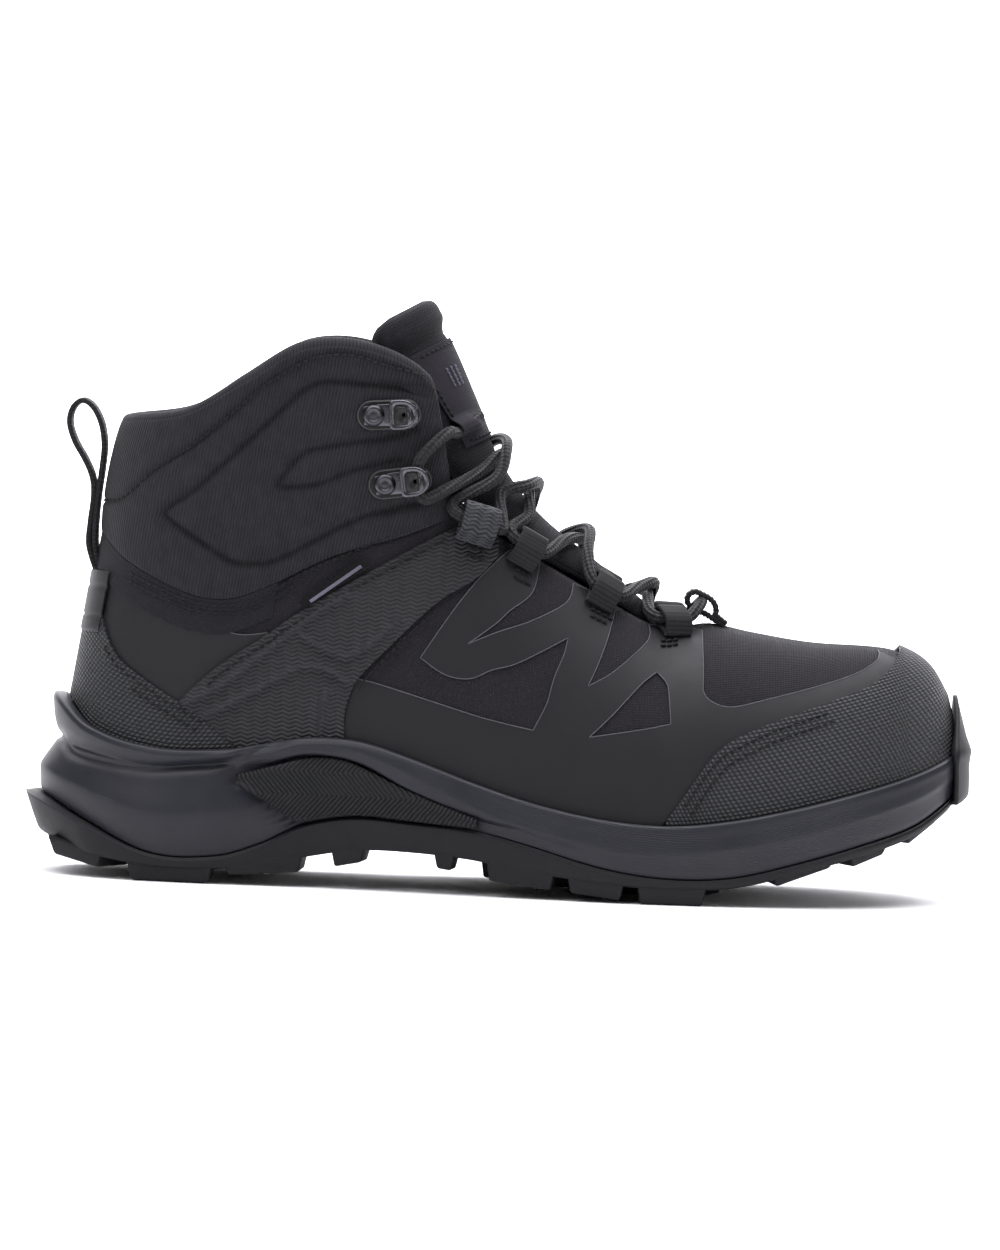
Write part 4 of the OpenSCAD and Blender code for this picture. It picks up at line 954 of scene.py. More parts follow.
lugs = []
for side in (LATERAL, MEDIAL):
    for x0, x1, z0, z1, depth in EDGE_LUGS:
        lugs.append(lug_corners(side, x0, x1, 0.6, depth, under(x0), under(x1))
                    + lug_corners(side, x0 + LUG_DRAFT, x1 - LUG_DRAFT, 0.8 + LUG_DRAFT / 2,
                                  depth - LUG_DRAFT, z0, z1))
for x, y, z, w, long in CHEVRONS:
    for side in (-1, 1):
        d, a, b = LUG_DRAFT, x - w / 2, x + long - w / 2
        lugs.append([[x, y, under(x)], [x + long, y, under(x)], [b, y + side * w, under(x)],
                     [a, y + side * w, under(x)],
                     [x + d, y, z], [x + long - d, y, z], [b - d, y + side * (w - d), z],
                     [a + d, y + side * (w - d), z]])
lugs.append([[-134, -17, 12], [-149, -8, 17], [-149, 8, 17], [-134, 17, 12],
             [-133, -15, 4.6], [-145, -8, 10], [-145, 8, 10], [-133, 15, 4.6]])
tread = make("tread_lugs", lugs, [tuple(8 * k + i for i in f) for k in range(len(lugs)) for f in BLOCK],
             OUTSOLE,
             "rubber", uv=np.array(lugs)[..., :2])
weld(tread, 0.001)
rounding = tread.modifiers.new("edge", "BEVEL")
rounding.width, rounding.segments = 0.9 * MM, 3
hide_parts("outsole")


def bumper_front(q, z, off):
    side, s = (LATERAL if q < 0 else MEDIAL), 1 - 0.085 * abs(q)
    lean = 3.2 * smooth((z - 54) / 16)
    out = off - lean + sole(s, LIP) * smooth((60 - z) / 20)
    return plan_point(side, s) + out * plan_normal(side, s) + np.array([0, 0, z])


bumper = []
for q in np.linspace(-1, 1, 33):
    z0, z1 = 33 + 4 * (1 - abs(q)), mix(67.6, 50, abs(q) ** 1.6)
    heights = [mix(z0, z1, j / 14) for j in range(15)]
    outer = [bumper_front(q, z, 2.1 + 1.3 * math.exp(-(((z - 50) / 3.2) ** 2))) for z in heights]
    inner = [bumper_front(q, z, 0.7 if z > z0 else -1.6) for z in heights[::-1]]
    bumper.append(outer + inner)
bumper = np.array(bumper)
toe_strip = make("toe_strip", bumper,
                 grid_faces(33, 30, close_m=True) + [tuple(range(30)), tuple(range(32 * 30, 33 * 30))],
                 OUTSOLE, "rubber", uv=bumper[..., [1, 2]])
weld(toe_strip, 0.001)

# ---- Insert in the side of the arch ----
PLATE_LOW = [[-84, 33.6], [-73, 26.6], [-64, 21.4], [-56, 23.2], [-45, 24.4], [-25, 23.4], [-6, 22.6]]
PLATE_HIGH = [[-84, 34.6], [-73, 38.2], [-62, 41.2], [-53, 41.6], [-45, 39.6], [-28, 31.8], [-6, 23.6]]
for side, word in ((LATERAL, "lateral"), (MEDIAL, "medial")):
    x = np.linspace(-84, -6, 90)
    s = s_at(x)
    low, high = curve(PLATE_LOW, x)[:, 1], curve(PLATE_HIGH, x)[:, 1]
    v = np.linspace(0, 1, 16)
    base = plan_point(side, s)[:, None] + 0 * v[None, :, None]
    edge = np.minimum(1, 6 * np.minimum(v, 1 - v))[None]
    off = 1.6 + 0.7 * edge + np.maximum(sole(s, WALL_OUT), sole(s, BELLY))[:, None]
    points = base + off[..., None] * plan_normal(side, s)[:, None]
    points[..., 2] = low[:, None] + (high - low)[:, None] * v[None]
    uv = np.stack([np.broadcast_to(x[:, None], points.shape[:2]),
                   points[..., 2] * (1 if side < 0 else -1)], -1)
    plate = make("arch_insert_" + word, points, grid_faces(90, 16, flip=side > 0), CHEVRON, "insert",
                 uv=uv)
    thicken(plate, 1.2)
    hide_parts("arch_plate_" + word)

# ---- Upper ----

def edge_table(points):
    """Place and height on the skin of a line seen from the side, sorted along the foot."""
    xz = rounded(points, 1.5)
    s, t = place_at(xz[:, 0], xz[:, 1])
    order = np.argsort(s)
    return s[order], np.minimum(t[order], 1)


def edge_at(table, s):
    return np.interp(s, *table)


def sheet_on(name, columns, low, high, rows, off, material, slot, thickness, edge=0.0, round_top=0.0,
             painted_shading=None):
    side, s = columns
    points, _ = skin_grid(side, s, low, high, rows, off, round_top)
    n, m = points.shape[:2]
    piece = make(name, points, grid_faces(n, m), material, slot, uv=weave_uv(points),
                 painted_shading=None if painted_shading is None else painted_shading(points))
    weld(piece, 0.02)
    mesh = piece.data
    middle = np.array([[*v.co] for v in mesh.vertices]).mean(0) / MM
    outward = sum((np.array(p.center) / MM - middle) @ np.array(p.normal) * p.area
                  for p in mesh.polygons)
    if outward < 0:
        mesh.flip_normals()
    thicken(piece, thickness, edge)
    return piece


def plain(value):
    return lambda side, s, t, p: np.full(t.shape, float(value))


# One shell from the toe to the collar's seam.
columns = wrap(0, 170, toe=True)
foot = foot_x(columns[1])
seam = seam_t(columns[1], 0.5)
top = seam + (1 - seam) * smooth((foot + 32) / 6)
floor = t_at(columns[1], curve(FEATHER, foot)[:, 1] + 0.6)


def upper_relief(side, s, t, p):
    along = np.sin(p[..., 0] / 7.3 + 0.6 * np.sin(p[..., 2] / 5))
    wrinkle = 0.16 * along * np.sin(p[..., 2] / 6.1 + side)
    return wrinkle * smooth((1 - t) / 0.15) * smooth((120 - p[..., 0]) / 20)


upper = sheet_on("upper_fabric", columns, floor, top, 46, upper_relief, TEXTILE, "upper_fabric", 1.9)
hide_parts("vamp", "quarter_lateral", "quarter_medial")

# Film welded on the flank.
FILM_OUTLINE = [
    (2, 110.6), (-3, 107.5), (-3, 107.5), (-10, 100), (-18, 89), (-27, 75), (-27, 75), (-19, 70),
    (-11, 69),
    (-4, 72), (3, 74), (11, 78), (20, 83), (20, 83), (19, 78), (16, 70), (14, 62), (10, 53.5),
    (10, 53.5), (-5, 56.5),
    (-20, 60.5), (-40, 66), (-48, 67.5), (-48, 67.5), (-52, 58), (-51, 47), (-51, 47), (-46, 46),
    (-29, 41),
    (-14, 35.5), (2, 31), (12, 28.5), (35, 25), (52, 25), (52, 25), (62, 36), (70, 46), (77, 50),
    (88, 56), (106, 62),
    (122, 69), (131, 78), (131, 78), (121, 81.5), (121, 81.5), (121, 79), (115, 75), (104, 71),
    (86, 66),
    (73, 63), (66, 65), (64, 68), (64, 68), (64, 75), (63.5, 86), (63.5, 86), (55, 86.6), (46, 87.4),
    (46, 87.4),
    (46, 83), (40, 77), (34, 72), (27, 68), (27, 68), (30, 75), (33, 84), (35, 93), (35, 93), (28, 97),
    (21, 100), (21, 100), (19, 94), (8, 88), (-3, 84), (-12, 80), (-12, 80), (-3, 87), (1, 91), (8, 97),
    (10, 107), (10, 107),
]
FILM_WINDOW = [(49, 73), (49, 73), (52, 70), (53, 67), (54, 57), (54, 57), (45, 55), (28, 52), (28, 52),
               (35, 59), (44, 69)]


def film_edge_highlights(word, side):
    """The cut edge of the film, drawn as a thin light tube: a painted highlight where the rim catches
    the light.
    """
    parts = []
    for outline in (FILM_OUTLINE, FILM_WINDOW, QUARTER_FILM):
        ring = rounded(outline, 1.2, True)
        # The painted highlight is kept on the edges above 42 mm and on those behind x = -60.
        keep = (ring[:, 1] > 42) | (ring[:, 0] < -60)
        ring = np.concatenate([ring, ring[:1]])
        keep = np.append(keep, keep[0])
        start = 0
        for i in range(1, len(ring) + 1):
            if i == len(ring) or not keep[i]:
                if i - start > 3:
                    parts.append(sweep(draped(side, ring[start:i], 0.42 + np.zeros(i - start)),
                                       circle(0.17, 6)))
                start = i + 1
    make_part("film_edge_highlight_" + word, join_lists(parts), FILM_EDGE_HIGHLIGHT, "film")


QUARTER_FILM = [
    (-135, 103), (-135, 103), (-128, 96.5), (-122, 93), (-112, 88), (-101, 84), (-90, 81), (-84, 80),
    (-76, 81), (-76, 81),
    (-88, 68), (-100, 58), (-100, 58), (-106, 53), (-106, 53), (-114, 60), (-121, 65), (-127, 72),
    (-131, 84), (-133, 92),
]
for side, word in ((LATERAL, "lateral"), (MEDIAL, "medial")):
    quarter = drape_sheet("quarter_film_" + word, rounded(QUARTER_FILM, 2.5, True), side, 0.5, FILM,
                          "film", cell=2.6)
    thicken(quarter, 0.5, 0.15, 1)
    film = drape_sheet("film_" + word, rounded(FILM_OUTLINE, 3.0, True), side, 0.42, FILM, "film",
                       holes=[rounded(FILM_WINDOW, 3.0, True)], cell=2.6)
    thicken(film, 0.42, 0.15, 1)
    film_edge_highlights(word, side)
    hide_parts("film_overlay_" + word)

# Toe cap and heel cap, with rounded edges.
TOE_EDGE = [[54, 27], [60, 36], [68, 47.5], [75, 53], [86, 58], [104, 64.4], [119, 70], [127, 76],
            [133, 84]]
columns = wrap(s_at(53.5), 80, toe=True)
foot = foot_x(columns[1])
top = np.minimum(1, t_at(columns[1], curve(TOE_EDGE, foot)[:, 1]))
low = rim_t(columns[1], -1.5)
toe_cap = sheet_on("toe_cap_mesh", columns, np.minimum(low, top - 0.01), np.where(foot > 131, 1, top),
                   30,
                   lambda side, s, t, p: 1.4 + 0.8 * smooth((foot_x(s) - 100) / 22), CAP, "overlay",
                   1.1, 0.4, 0.6)
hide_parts("toe_cap")

HEEL_EDGE = [(-137, 110), (-133.5, 101), (-132, 92), (-130, 85), (-127, 76), (-123, 70), (-116, 65),
             (-108, 60),
             (-101, 56), (-94, 52), (-80, 44)]
heel_edge = edge_table(HEEL_EDGE)
columns = wrap(s_at(-83), 70)
low = rim_t(columns[1], -1.2)
top = np.maximum(edge_at(heel_edge, columns[1]), low + 0.01)
heel_cap = sheet_on("heel_cap_mesh", columns, low, top, 34, plain(1.4), CAP, "overlay", 1.1, 0.4)
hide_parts("heel_cap")

# Cloth band at the foot of the collar.
SEAM_LINE = [(-134, 110), (-129, 105), (-122, 100), (-113, 96), (-102, 92), (-95, 91), (-88, 91),
             (-81, 93),
             (-75, 96), (-68, 101), (-58, 106), (-49, 110), (-36, 116), (-28, 119)]
columns = wrap(s_at(-82), 60)
band = sheet_on("collar_band", columns, seam_t(columns[1], -11), seam_t(columns[1], 0.2), 12,
                plain(0.75), BAND,
                "upper_fabric", 0.45, 0.15)
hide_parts("band")

# Straps that pull the midfoot in.
STRAP_OUTLINE = [
    (-104, 57.5), (-104, 57.5), (-98, 64), (-90, 71), (-77, 80), (-67, 87.5), (-52, 97), (-32, 109),
    (-17, 117.5), (-17, 117.5),
    (-11, 116.5), (-4, 113.5), (-4, 113.5), (-4, 107.5), (-4, 107.5), (-11, 100), (-22, 93), (-33, 82),
    (-46, 68),
    (-49, 62), (-50.5, 55), (-50, 46.5), (-50, 46.5), (-68, 45), (-84, 43.5), (-84, 43.5), (-94, 51),
    (-98, 54), (-101, 55.6),
]
STRAP_RIDGES = [
    [(-102, 57), (-90, 64), (-75, 76), (-62, 87), (-51, 94)],
    [(-66, 81), (-57, 76), (-48, 75), (-34, 87)],
    [(-94, 54), (-80, 62), (-66, 70), (-57, 70), (-50, 66)], [(-56, 63), (-58, 58), (-58, 47)],
]


def strap_relief(xz):
    lines = [rounded(r, 3) for r in STRAP_RIDGES]
    d = np.min([near(xz, r) for r in lines], axis=0)
    return 1.1 * np.exp(-((d / 1.1) ** 2)) + 0.2 * np.sin(xz[:, 0] / 9 + xz[:, 1] / 14)


# Painted highlight along the strap's raised ridges, with a little painted shade away from them.
def strap_painted_highlight_and_shade(xz):
    d = np.min([near(xz, rounded(r, 3)) for r in STRAP_RIDGES], axis=0)
    return -1.5 * np.exp(-((d / 1.0) ** 2)) + 0.2 * smooth((d - 2) / 8)


for side, word in ((LATERAL, "lateral"), (MEDIAL, "medial")):
    strap = drape_sheet("strap_" + word + "_overlay", rounded(STRAP_OUTLINE, 2.0, True), side, 1.75,
                        STRAP, "strap",
                        cell=1.3, relief=strap_relief, painted_shading=strap_painted_highlight_and_shade)
    thicken(strap, 1.4, 0.5)
    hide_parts("strap_" + word)

# ---- Collar ----
SHIELD = [(-29, 160), (-52, 162), (-62, 162), (-68, 159), (-73, 154), (-88, 139), (-101, 126),
          (-109, 120),
          (-110, 117), (-103, 112), (-92, 105), (-87, 103), (-81, 103), (-75, 104), (-64, 110),
          (-50, 118),
          (-39, 122), (-27, 125.5)]
ARROW_HIGH = [(-75, 129), (-67, 139), (-56, 142), (-41, 145), (-31, 148)]
ARROW_LOW = [(-75, 129), (-74, 128), (-63, 129), (-51, 134), (-36, 138)]
RIM_STITCH = [(-28, 165), (-41, 168), (-53, 171), (-64, 170), (-72, 166), (-82, 159), (-90, 151),
              (-102, 140),
              (-113, 132), (-120, 125), (-125, 121), (-132, 120)]
COLLAR_FRONT = float(s_at(-29.2))


def collar_relief(side, s, t, p):
    v = (t - seam_t(s, 0.4)) / (0.985 - seam_t(s, 0.4))
    front = smooth((COLLAR_FRONT - s) / 0.035)
    xz = p[..., [0, 2]].reshape(-1, 2)
    cut = groove(xz, [SHIELD], 1.7, 1.7) + groove(xz, [ARROW_HIGH, ARROW_LOW], 1.2, 1.1)
    cut = cut + groove(xz, [RIM_STITCH], 1.0, 0.7)
    cut = cut.reshape(t.shape)
    puff = 0.3 + 1.6 * np.sin(np.pi * np.clip(v, 0, 1)) ** 0.6 * front
    return puff + 0.5 * front - cut * smooth(v * 8) * smooth((1 - v) * 14)


# Painted shade in the collar's grooves and along its rim stitching, darkest where they press deepest.
def collar_painted_shade(points):
    xz = points[..., [0, 2]].reshape(-1, 2)
    cut = groove(xz, [SHIELD, ARROW_HIGH, ARROW_LOW], 1.0, 0.6) + groove(xz, [RIM_STITCH], 0.6, 0.5)
    return cut


columns = wrap(COLLAR_FRONT, 150)
collar = sheet_on("collar_softshell", columns, seam_t(columns[1], 0.4),
                  np.full(len(columns[1]), 0.985), 84, collar_relief, COLLAR, "softshell", 1.6,
                  painted_shading=collar_painted_shade)
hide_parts("collar")

# Lining of the collar, turned over the top line.
side, s = wrap(s_at(-31), 110)
t_low = seam_t(s, -6)
grid = []
for v in np.linspace(0, 1, 26):
    t = mix(t_low, 0.975, v)
    grid.append(on_skin(side, s, t, -6.1 - 0.9 * np.sin(np.pi * v) * smooth((s_at(-31) - s) / 0.04)))
grid = np.array(grid).transpose(1, 0, 2)
collar_lining = make("collar_lining_mesh", grid, grid_faces(*grid.shape[:2], flip=True), LINING,
                     "lining_fabric", uv=weave_uv(grid))
weld(collar_lining)
thicken(collar_lining, 0.9)
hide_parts("collar_lining")

side, s = wrap(s_at(-29.6), 150)
rows = []
for t, off in ((0.93, 0.78), (0.955, 0.84)):
    rows.append(on_skin(side, s, np.full(len(s), t), off))
for k in np.linspace(0, np.pi, 13):
    rows.append(on_skin(side, s, np.full(len(s), 0.978), -2.95 + 3.85 * math.cos(k))
                + np.array([0, 0, 3.6 * math.sin(k)]))
for t in (0.955, 0.93, 0.9):
    rows.append(on_skin(side, s, np.full(len(s), t), -7.2))
rim = np.array(rows).transpose(1, 0, 2)
binding = make("collar_rim", rim, grid_faces(*rim.shape[:2]) + [tuple(range(len(rows))),
               tuple(range(rim.shape[1] * (rim.shape[0] - 1), rim.shape[1] * rim.shape[0]))], RIM_CLOTH,
               "softshell",
               uv=weave_uv(rim))
weld(binding)
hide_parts("collar_binding")

# ---- Inside ----
lining_parts = (
    ("vamp_lining_mesh", wrap(s_at(-28.5), 70, toe=True), "vamp_lining", -4.0, True),
    ("heel_lining_mesh", wrap(s_at(-29.5), 60), "heel_lining", -4.1, False),
)
for name, columns, node, off, toe in lining_parts:
    s = columns[1]
    low = t_at(s, curve(FEATHER, foot_x(s))[:, 1] + 2.6)
    high = np.ones(len(s)) if toe else seam_t(s, -0.6)
    piece = sheet_on(name, columns, low, high, 26, plain(off), LINING, "lining_fabric", 0.9)
    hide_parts(node)

BOARD_T = 2.0
inset = 6.4 + 2 * smooth((-100 - RING_X) / 30)
cup = 5 * smooth((-40 - RING_X) / 50)
base = curve(FEATHER, RING_X)[:, 1] + BOARD_T + 0.4
BED = [(-inset - 9, base), (-inset - 1.6, base), (-inset - 0.8, base + 2.7 + cup),
       (-inset - 1.1, base + 4.1 + cup),
       (-inset - 2.4, base + 4.5 + 0.8 * cup), (-inset - 9, base + 4.5 + 0.25 * cup),
       (-inset - 15, base + 4.5)]
footbed = ring_body("footbed_cloth", profile_grid(BED, 4), FOOTBED, "footbed_foam", body="footbed")
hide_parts("footbed")

for side, word in ((LATERAL, "lateral"), (MEDIAL, "medial")):
    x = np.linspace(56, -12, 40)
    s = s_at(x)
    outer = on_skin(side, s, np.full(len(s), 0.9), -6.4)
    inner = tongue_point(mix(0.14, 0.56, (56 - x) / 68), side * 0.72, -6.6)
    v = np.linspace(0, 1, 14)
    points = inner[:, None] + (outer - inner)[:, None] * v[None, :, None]
    points[..., 2] -= 3 * np.sin(np.pi * v)[None] + 0.5 * np.sin(x / 4)[:,
            None] * np.sin(np.pi * v)[None]
    piece = make("gusset_cloth_" + word, points, grid_faces(40, 14, flip=side < 0), LINING,
                 "lining_fabric", uv=weave_uv(points))
    thicken(piece, 0.8)
    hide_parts("gusset_" + word)

# ---- Tongue ----
BLEND = (tuple(tongue_point(0.715, 0, 0) * MM), tuple(tongue_point(0.815, 0, 0) * MM))


def tongue_grid(v, w, off, widen=lambda v, w: w):
    v2, w2 = np.meshgrid(v, w, indexing="ij")
    return tongue_point(v2, widen(v2, w2), off(v2, w2))


def tongue_face(v, w):
    cushion = 2.1 * smooth((v - 0.925) / 0.03) * smooth((1.02 - v) / 0.03)
    seams = 0.7 * np.exp(-(((v - 0.918) / 0.006) ** 2)) + 0.6 * np.exp(-(((np.abs(w) - 0.86)
            / 0.035) ** 2)) * smooth((v - 0.3) / 0.1)
    quilt = 0.35 * np.sin(np.pi * np.clip((v - 0.25) / 0.5, 0, 1)) * np.cos(np.pi * w / 2)
    return cushion - seams * 0.6 + quilt * smooth((0.7 - v) / 0.05) - 0.35


def wide(v, w):
    """The tongue's sides go on round the foot below the flap."""
    corner = 0.3 * (1 - np.sqrt(1 - np.clip((v - 0.95) / 0.05, 0, 1) ** 2))
    return w * (1 + 0.34 * smooth((v - 0.04) / 0.2) * smooth((0.93 - v) / 0.16) - corner)


v = np.linspace(0, 1, 150)
w = np.linspace(-1, 1, 61)
face = tongue_grid(v, w, tongue_face, wide)
back_side = tongue_grid(v, w, lambda a, b: tongue_face(a, b) * 0 - mix(2.4, 5.2, smooth(a / 0.3))
                        - 1.4 * np.sin(np.pi * np.clip((a - 0.76) / 0.24, 0, 1))
                        * smooth((a - 0.76) / 0.1), wide)
# The two faces meet in a rounded edge.
rim_round = np.minimum(1, np.minimum((1 - np.abs(w))[None] * 12, ((1 - v) * 40)[:, None]))
middle = (face + back_side) / 2
share = (1 - (1 - rim_round) ** 2) ** 0.5
face = middle + (face - middle) * np.maximum(share, 0.02)[..., None]
back_side = middle + (back_side - middle) * np.maximum(share, 0.02)[..., None]
n, m = len(v), len(w)
uv = weave_uv(face)
edge = ([(i, 0) for i in range(n)] + [(n - 1, j) for j in range(1, m)]
        + [(i, m - 1) for i in range(n - 2, -1, -1)]
        + [(0, j) for j in range(m - 2, 0, -1)])
faces = grid_faces(n, m) + grid_faces(n, m, start=n * m, flip=True)
for k in range(len(edge)):
    (i0, j0), (i1, j1) = edge[k], edge[(k + 1) % len(edge)]
    a, b = i0 * m + j0, i1 * m + j1
    faces.append((a, b, b + n * m, a + n * m))
tongue = make("tongue_pad", np.concatenate([face.reshape(-1, 3), back_side.reshape(-1, 3)]), faces,
              TONGUE_CLOTH,
              "tongue_fabric", body=None, uv=np.concatenate([uv.reshape(-1, 2), uv.reshape(-1, 2)]))
weld(tongue, 0.001)
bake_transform(tongue)
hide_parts("tongue", "tongue_flap")

PATCH_V, PATCH_W = (0.676, 0.905), 0.8
v = np.linspace(*PATCH_V, 70)
w = np.linspace(-PATCH_W, PATCH_W, 60)
mouth_w = np.clip((np.abs(w) - 0.25) / 0.35, 0, 1)[None] * np.clip((0.752 - v) / 0.03, 0, 1)[:, None]
lift = 0.6 + 4.2 * smooth(mouth_w) * smooth((v - 0.70)[:, None]
                                            / 0.012) * smooth((0.99 - np.abs(w))[None] / 0.05 + 1)
points = tongue_grid(v, w, lambda a, b: lift)
patch = make("tongue_patch_cloth", points, grid_faces(len(v), len(w)), PATCH, "patch", body=None,
             uv=weave_uv(points))
thicken(patch, 0.7, 0.2, 1)
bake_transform(patch)
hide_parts("tongue_patch", "lace_pocket")

parts = []
for a, b in (((PATCH_V[0] + 0.01, -0.74), (PATCH_V[0] + 0.01, 0.74)),
             ((PATCH_V[1] - 0.01, -0.74), (PATCH_V[1] - 0.01, 0.74)),
             ((PATCH_V[0] + 0.02, -0.75), (PATCH_V[1] - 0.02, -0.75)),
             ((PATCH_V[0] + 0.02, 0.75), (PATCH_V[1] - 0.02, 0.75))):
    k = np.linspace(0, 1, 40)
    vv, ww = mix(a[0], b[0], k), mix(a[1], b[1], k)
    on = tongue_point(vv, ww, 0.62)
    parts += stitch_row(on, unit(tongue_point(vv, ww, 3.0) - on), pitch=2.2, long=1.6)
# A plain woven mark: three short bars.
bars = []
for ww in (-0.5, -0.42, -0.34):
    k = np.linspace(0.80, 0.85, 20)
    on = tongue_point(k, np.full(20, ww), 0.62)
    bars += stitch_row(on, unit(tongue_point(k, np.full(20, ww), 3.0) - on), pitch=1.4, long=1.2,
                       r=0.34)
mark = make_part("tongue_mark_thread", join_lists(bars), MARK, "patch", None)
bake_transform(mark)
patch_thread = make_part("patch_stitches", join_lists(parts), THREAD, "patch", None)
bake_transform(patch_thread)


# ---- Lacing hardware ----

def local_frame(side, x, t, off):
    s = float(s_at(x))
    n = skin_normal(side, s, t)
    u = unit(skin(side, s_at(x + 2), t) - skin(side, s_at(x - 2), t))
    y = np.cross(n, u)
    return on_skin(side, s, t, off), u, y * (1 if side == LATERAL else -1), n


def strip(path, width, thickness, frame_at, material, name, slot="webbing", body="boot"):
    """A webbing strip; path is (towards the throat, outwards) in the local frame, width along u."""
    origin, u, e, n = frame_at
    path = rounded(path, 0.3)
    centre = origin + path[:, :1] * e + path[:, 1:] * n
    half_w, half_t = width / 2, thickness / 2
    ring = blunt_oval(half_w, half_t, 40)
    # Ribs that run across the webbing.
    length = arc_lengths(centre)
    ribs = 1 + 0.45 * (np.abs(np.sin(length * np.pi / 1.35)) - 0.4)
    rings = np.stack([np.broadcast_to(ring[:, 0], (len(length), len(ring))),
                      ribs[:, None] * ring[:, 1]], -1)
    verts, faces, uv = sweep(centre, rings, ups=np.cross(unit(np.gradient(centre, axis=0)), u) * -1)
    uv = np.stack([uv[:, 0], np.tile(ring[:, 0], len(centre))], -1)
    return make(name, verts, faces, material, slot, body, uv=uv)


def loop_path(eye, tail=6.8, reach=4.2, t=0.9):
    r = eye / 2 + t / 2
    top_y = eye + 1.5 * t
    front = [(reach / 2 + r * math.sin(a), r + t / 2 - r * math.cos(a) + 0.0)
             for a in np.linspace(0, math.pi, 7)]
    return ([(0.4 - tail, -0.2), (-4, 0.5 * t), (-reach / 2, 0.5 * t)] + front
            + [(-1, top_y), (-reach / 2 - 0.4, top_y - 0.2), (-4.4, top_y - 1.1), (-5.6, 3.0),
               (-6.3, 1.6), (-tail, 0.2 + t / 2)])


LOOPS = [53, 30, 5]
for side, word in ((LATERAL, "lateral"), (MEDIAL, "medial")):
    places = [(x, 9.5, 0.9, 4.3, "lace_loop_%s_%d" % (word, i + 1)) for i, x in enumerate(LOOPS)]
    places.append((-13, 12.0, 2.0, 4.9, "strap_loop_" + word))
    for x, width, off, eye, node in places:
        at = local_frame(side, x, 1.0, off)
        band_piece = strip(loop_path(eye), width, 1.2, at, WEBBING if x > -5 else STRAP_TOP,
                           node + "_band",
                           "webbing")
        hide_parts(node)
        # Bar tack across the foot of the loop.
        origin, u, e, n = at
        parts = []
        for row in (8.2, 11.0):
            k = np.linspace(-width / 2 + 0.4, width / 2 - 0.4, 30)
            xs = s_at(x + k * 0.95)
            rise = skin(side, xs, 1.0) - skin(side, xs, 0.9)
            t = 1 - 0.1 * row / np.linalg.norm(rise, axis=-1)
            raised = 1.9 if x < -5 else 0.55
            parts += stitch_row(on_skin(side, xs, t, np.full(30, raised)), skin_normal(side, xs, t),
                                pitch=2.1, long=1.8, r=0.48)
        make_part(node + "_tack", join_lists(parts), THREAD, "webbing")

tilt = math.radians(25)
keeper_frame = (np.array([61.8, 2.7, 91.9]), np.array([0.0, 1.0, 0.0]),
                np.array([-math.cos(tilt), 0, math.sin(tilt)]),
                np.array([math.sin(tilt), 0, math.cos(tilt)]))
keeper = strip(loop_path(4.3, 10.5), 9.5, 1.7, keeper_frame, WEBBING, "keeper_loop")
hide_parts("toe_keeper")

HOOKS = [("upper", -45, 152, 34.4, 4), ("lower", -40.5, 130, 33.9, 9)]
PLATE_BACK, PLATE_FRONT, PLATE_R = -0.6, 10.4, 4.9
LIP_HEIGHT = 6.25


def slot_outline(x0, x1, r, n=14):
    a = np.linspace(-np.pi / 2, np.pi / 2, n)
    right = np.stack([x1 + r * np.cos(a), r * np.sin(a)], -1)
    return np.concatenate([right, np.stack([x0 - r * np.cos(a), -r * np.sin(a)], -1)])


def layers(outlines, heights, cap=True):
    """Outlines one above another, joined: a turned or bevelled plate."""
    n = len(outlines[0])
    verts = [np.column_stack([o, np.full(n, h)]) for o, h in zip(outlines, heights)]
    faces = grid_faces(len(verts), n, close_m=True)
    faces += [tuple(range(n))[::-1], tuple(range((len(verts) - 1) * n, len(verts) * n))] if cap else []
    return np.concatenate(verts), faces, np.concatenate([np.array(o) for o in outlines])


def rivet_head(r, h, base):
    a = np.linspace(0, 2 * np.pi, 40, endpoint=False)
    rows = [(r, base), (r, base + 0.25 * h), (0.94 * r, base + 0.6 * h), (0.72 * r, base + 0.86 * h),
            (0.56 * r, base + 0.9 * h),
            (0.5 * r, base + 0.66 * h), (0.36 * r, base + 0.6 * h), (0.02, base + 0.78 * h)]
    return layers([np.stack([q * np.cos(a), q * np.sin(a)], -1) for q, _ in rows], [z for _, z in rows])


def d_shape(grow, n=22):
    """Outline of the hook seen from the front: flat at the back, round at the nose."""
    r = 4.3 + grow
    a = np.linspace(-np.pi / 2, np.pi / 2, n)
    nose = np.stack([9.0 + (r + 0.5) * np.cos(a), r * np.sin(a)], -1)
    back_x = 5.6 - grow
    corner = 1.3
    b = np.linspace(np.pi / 2, np.pi, 6)
    upper_c = np.stack([back_x + corner + corner * np.cos(b), r - corner + corner * np.sin(b)], -1)
    lower_c = upper_c[::-1] * np.array([1, -1])
    return np.concatenate([nose, upper_c, lower_c])


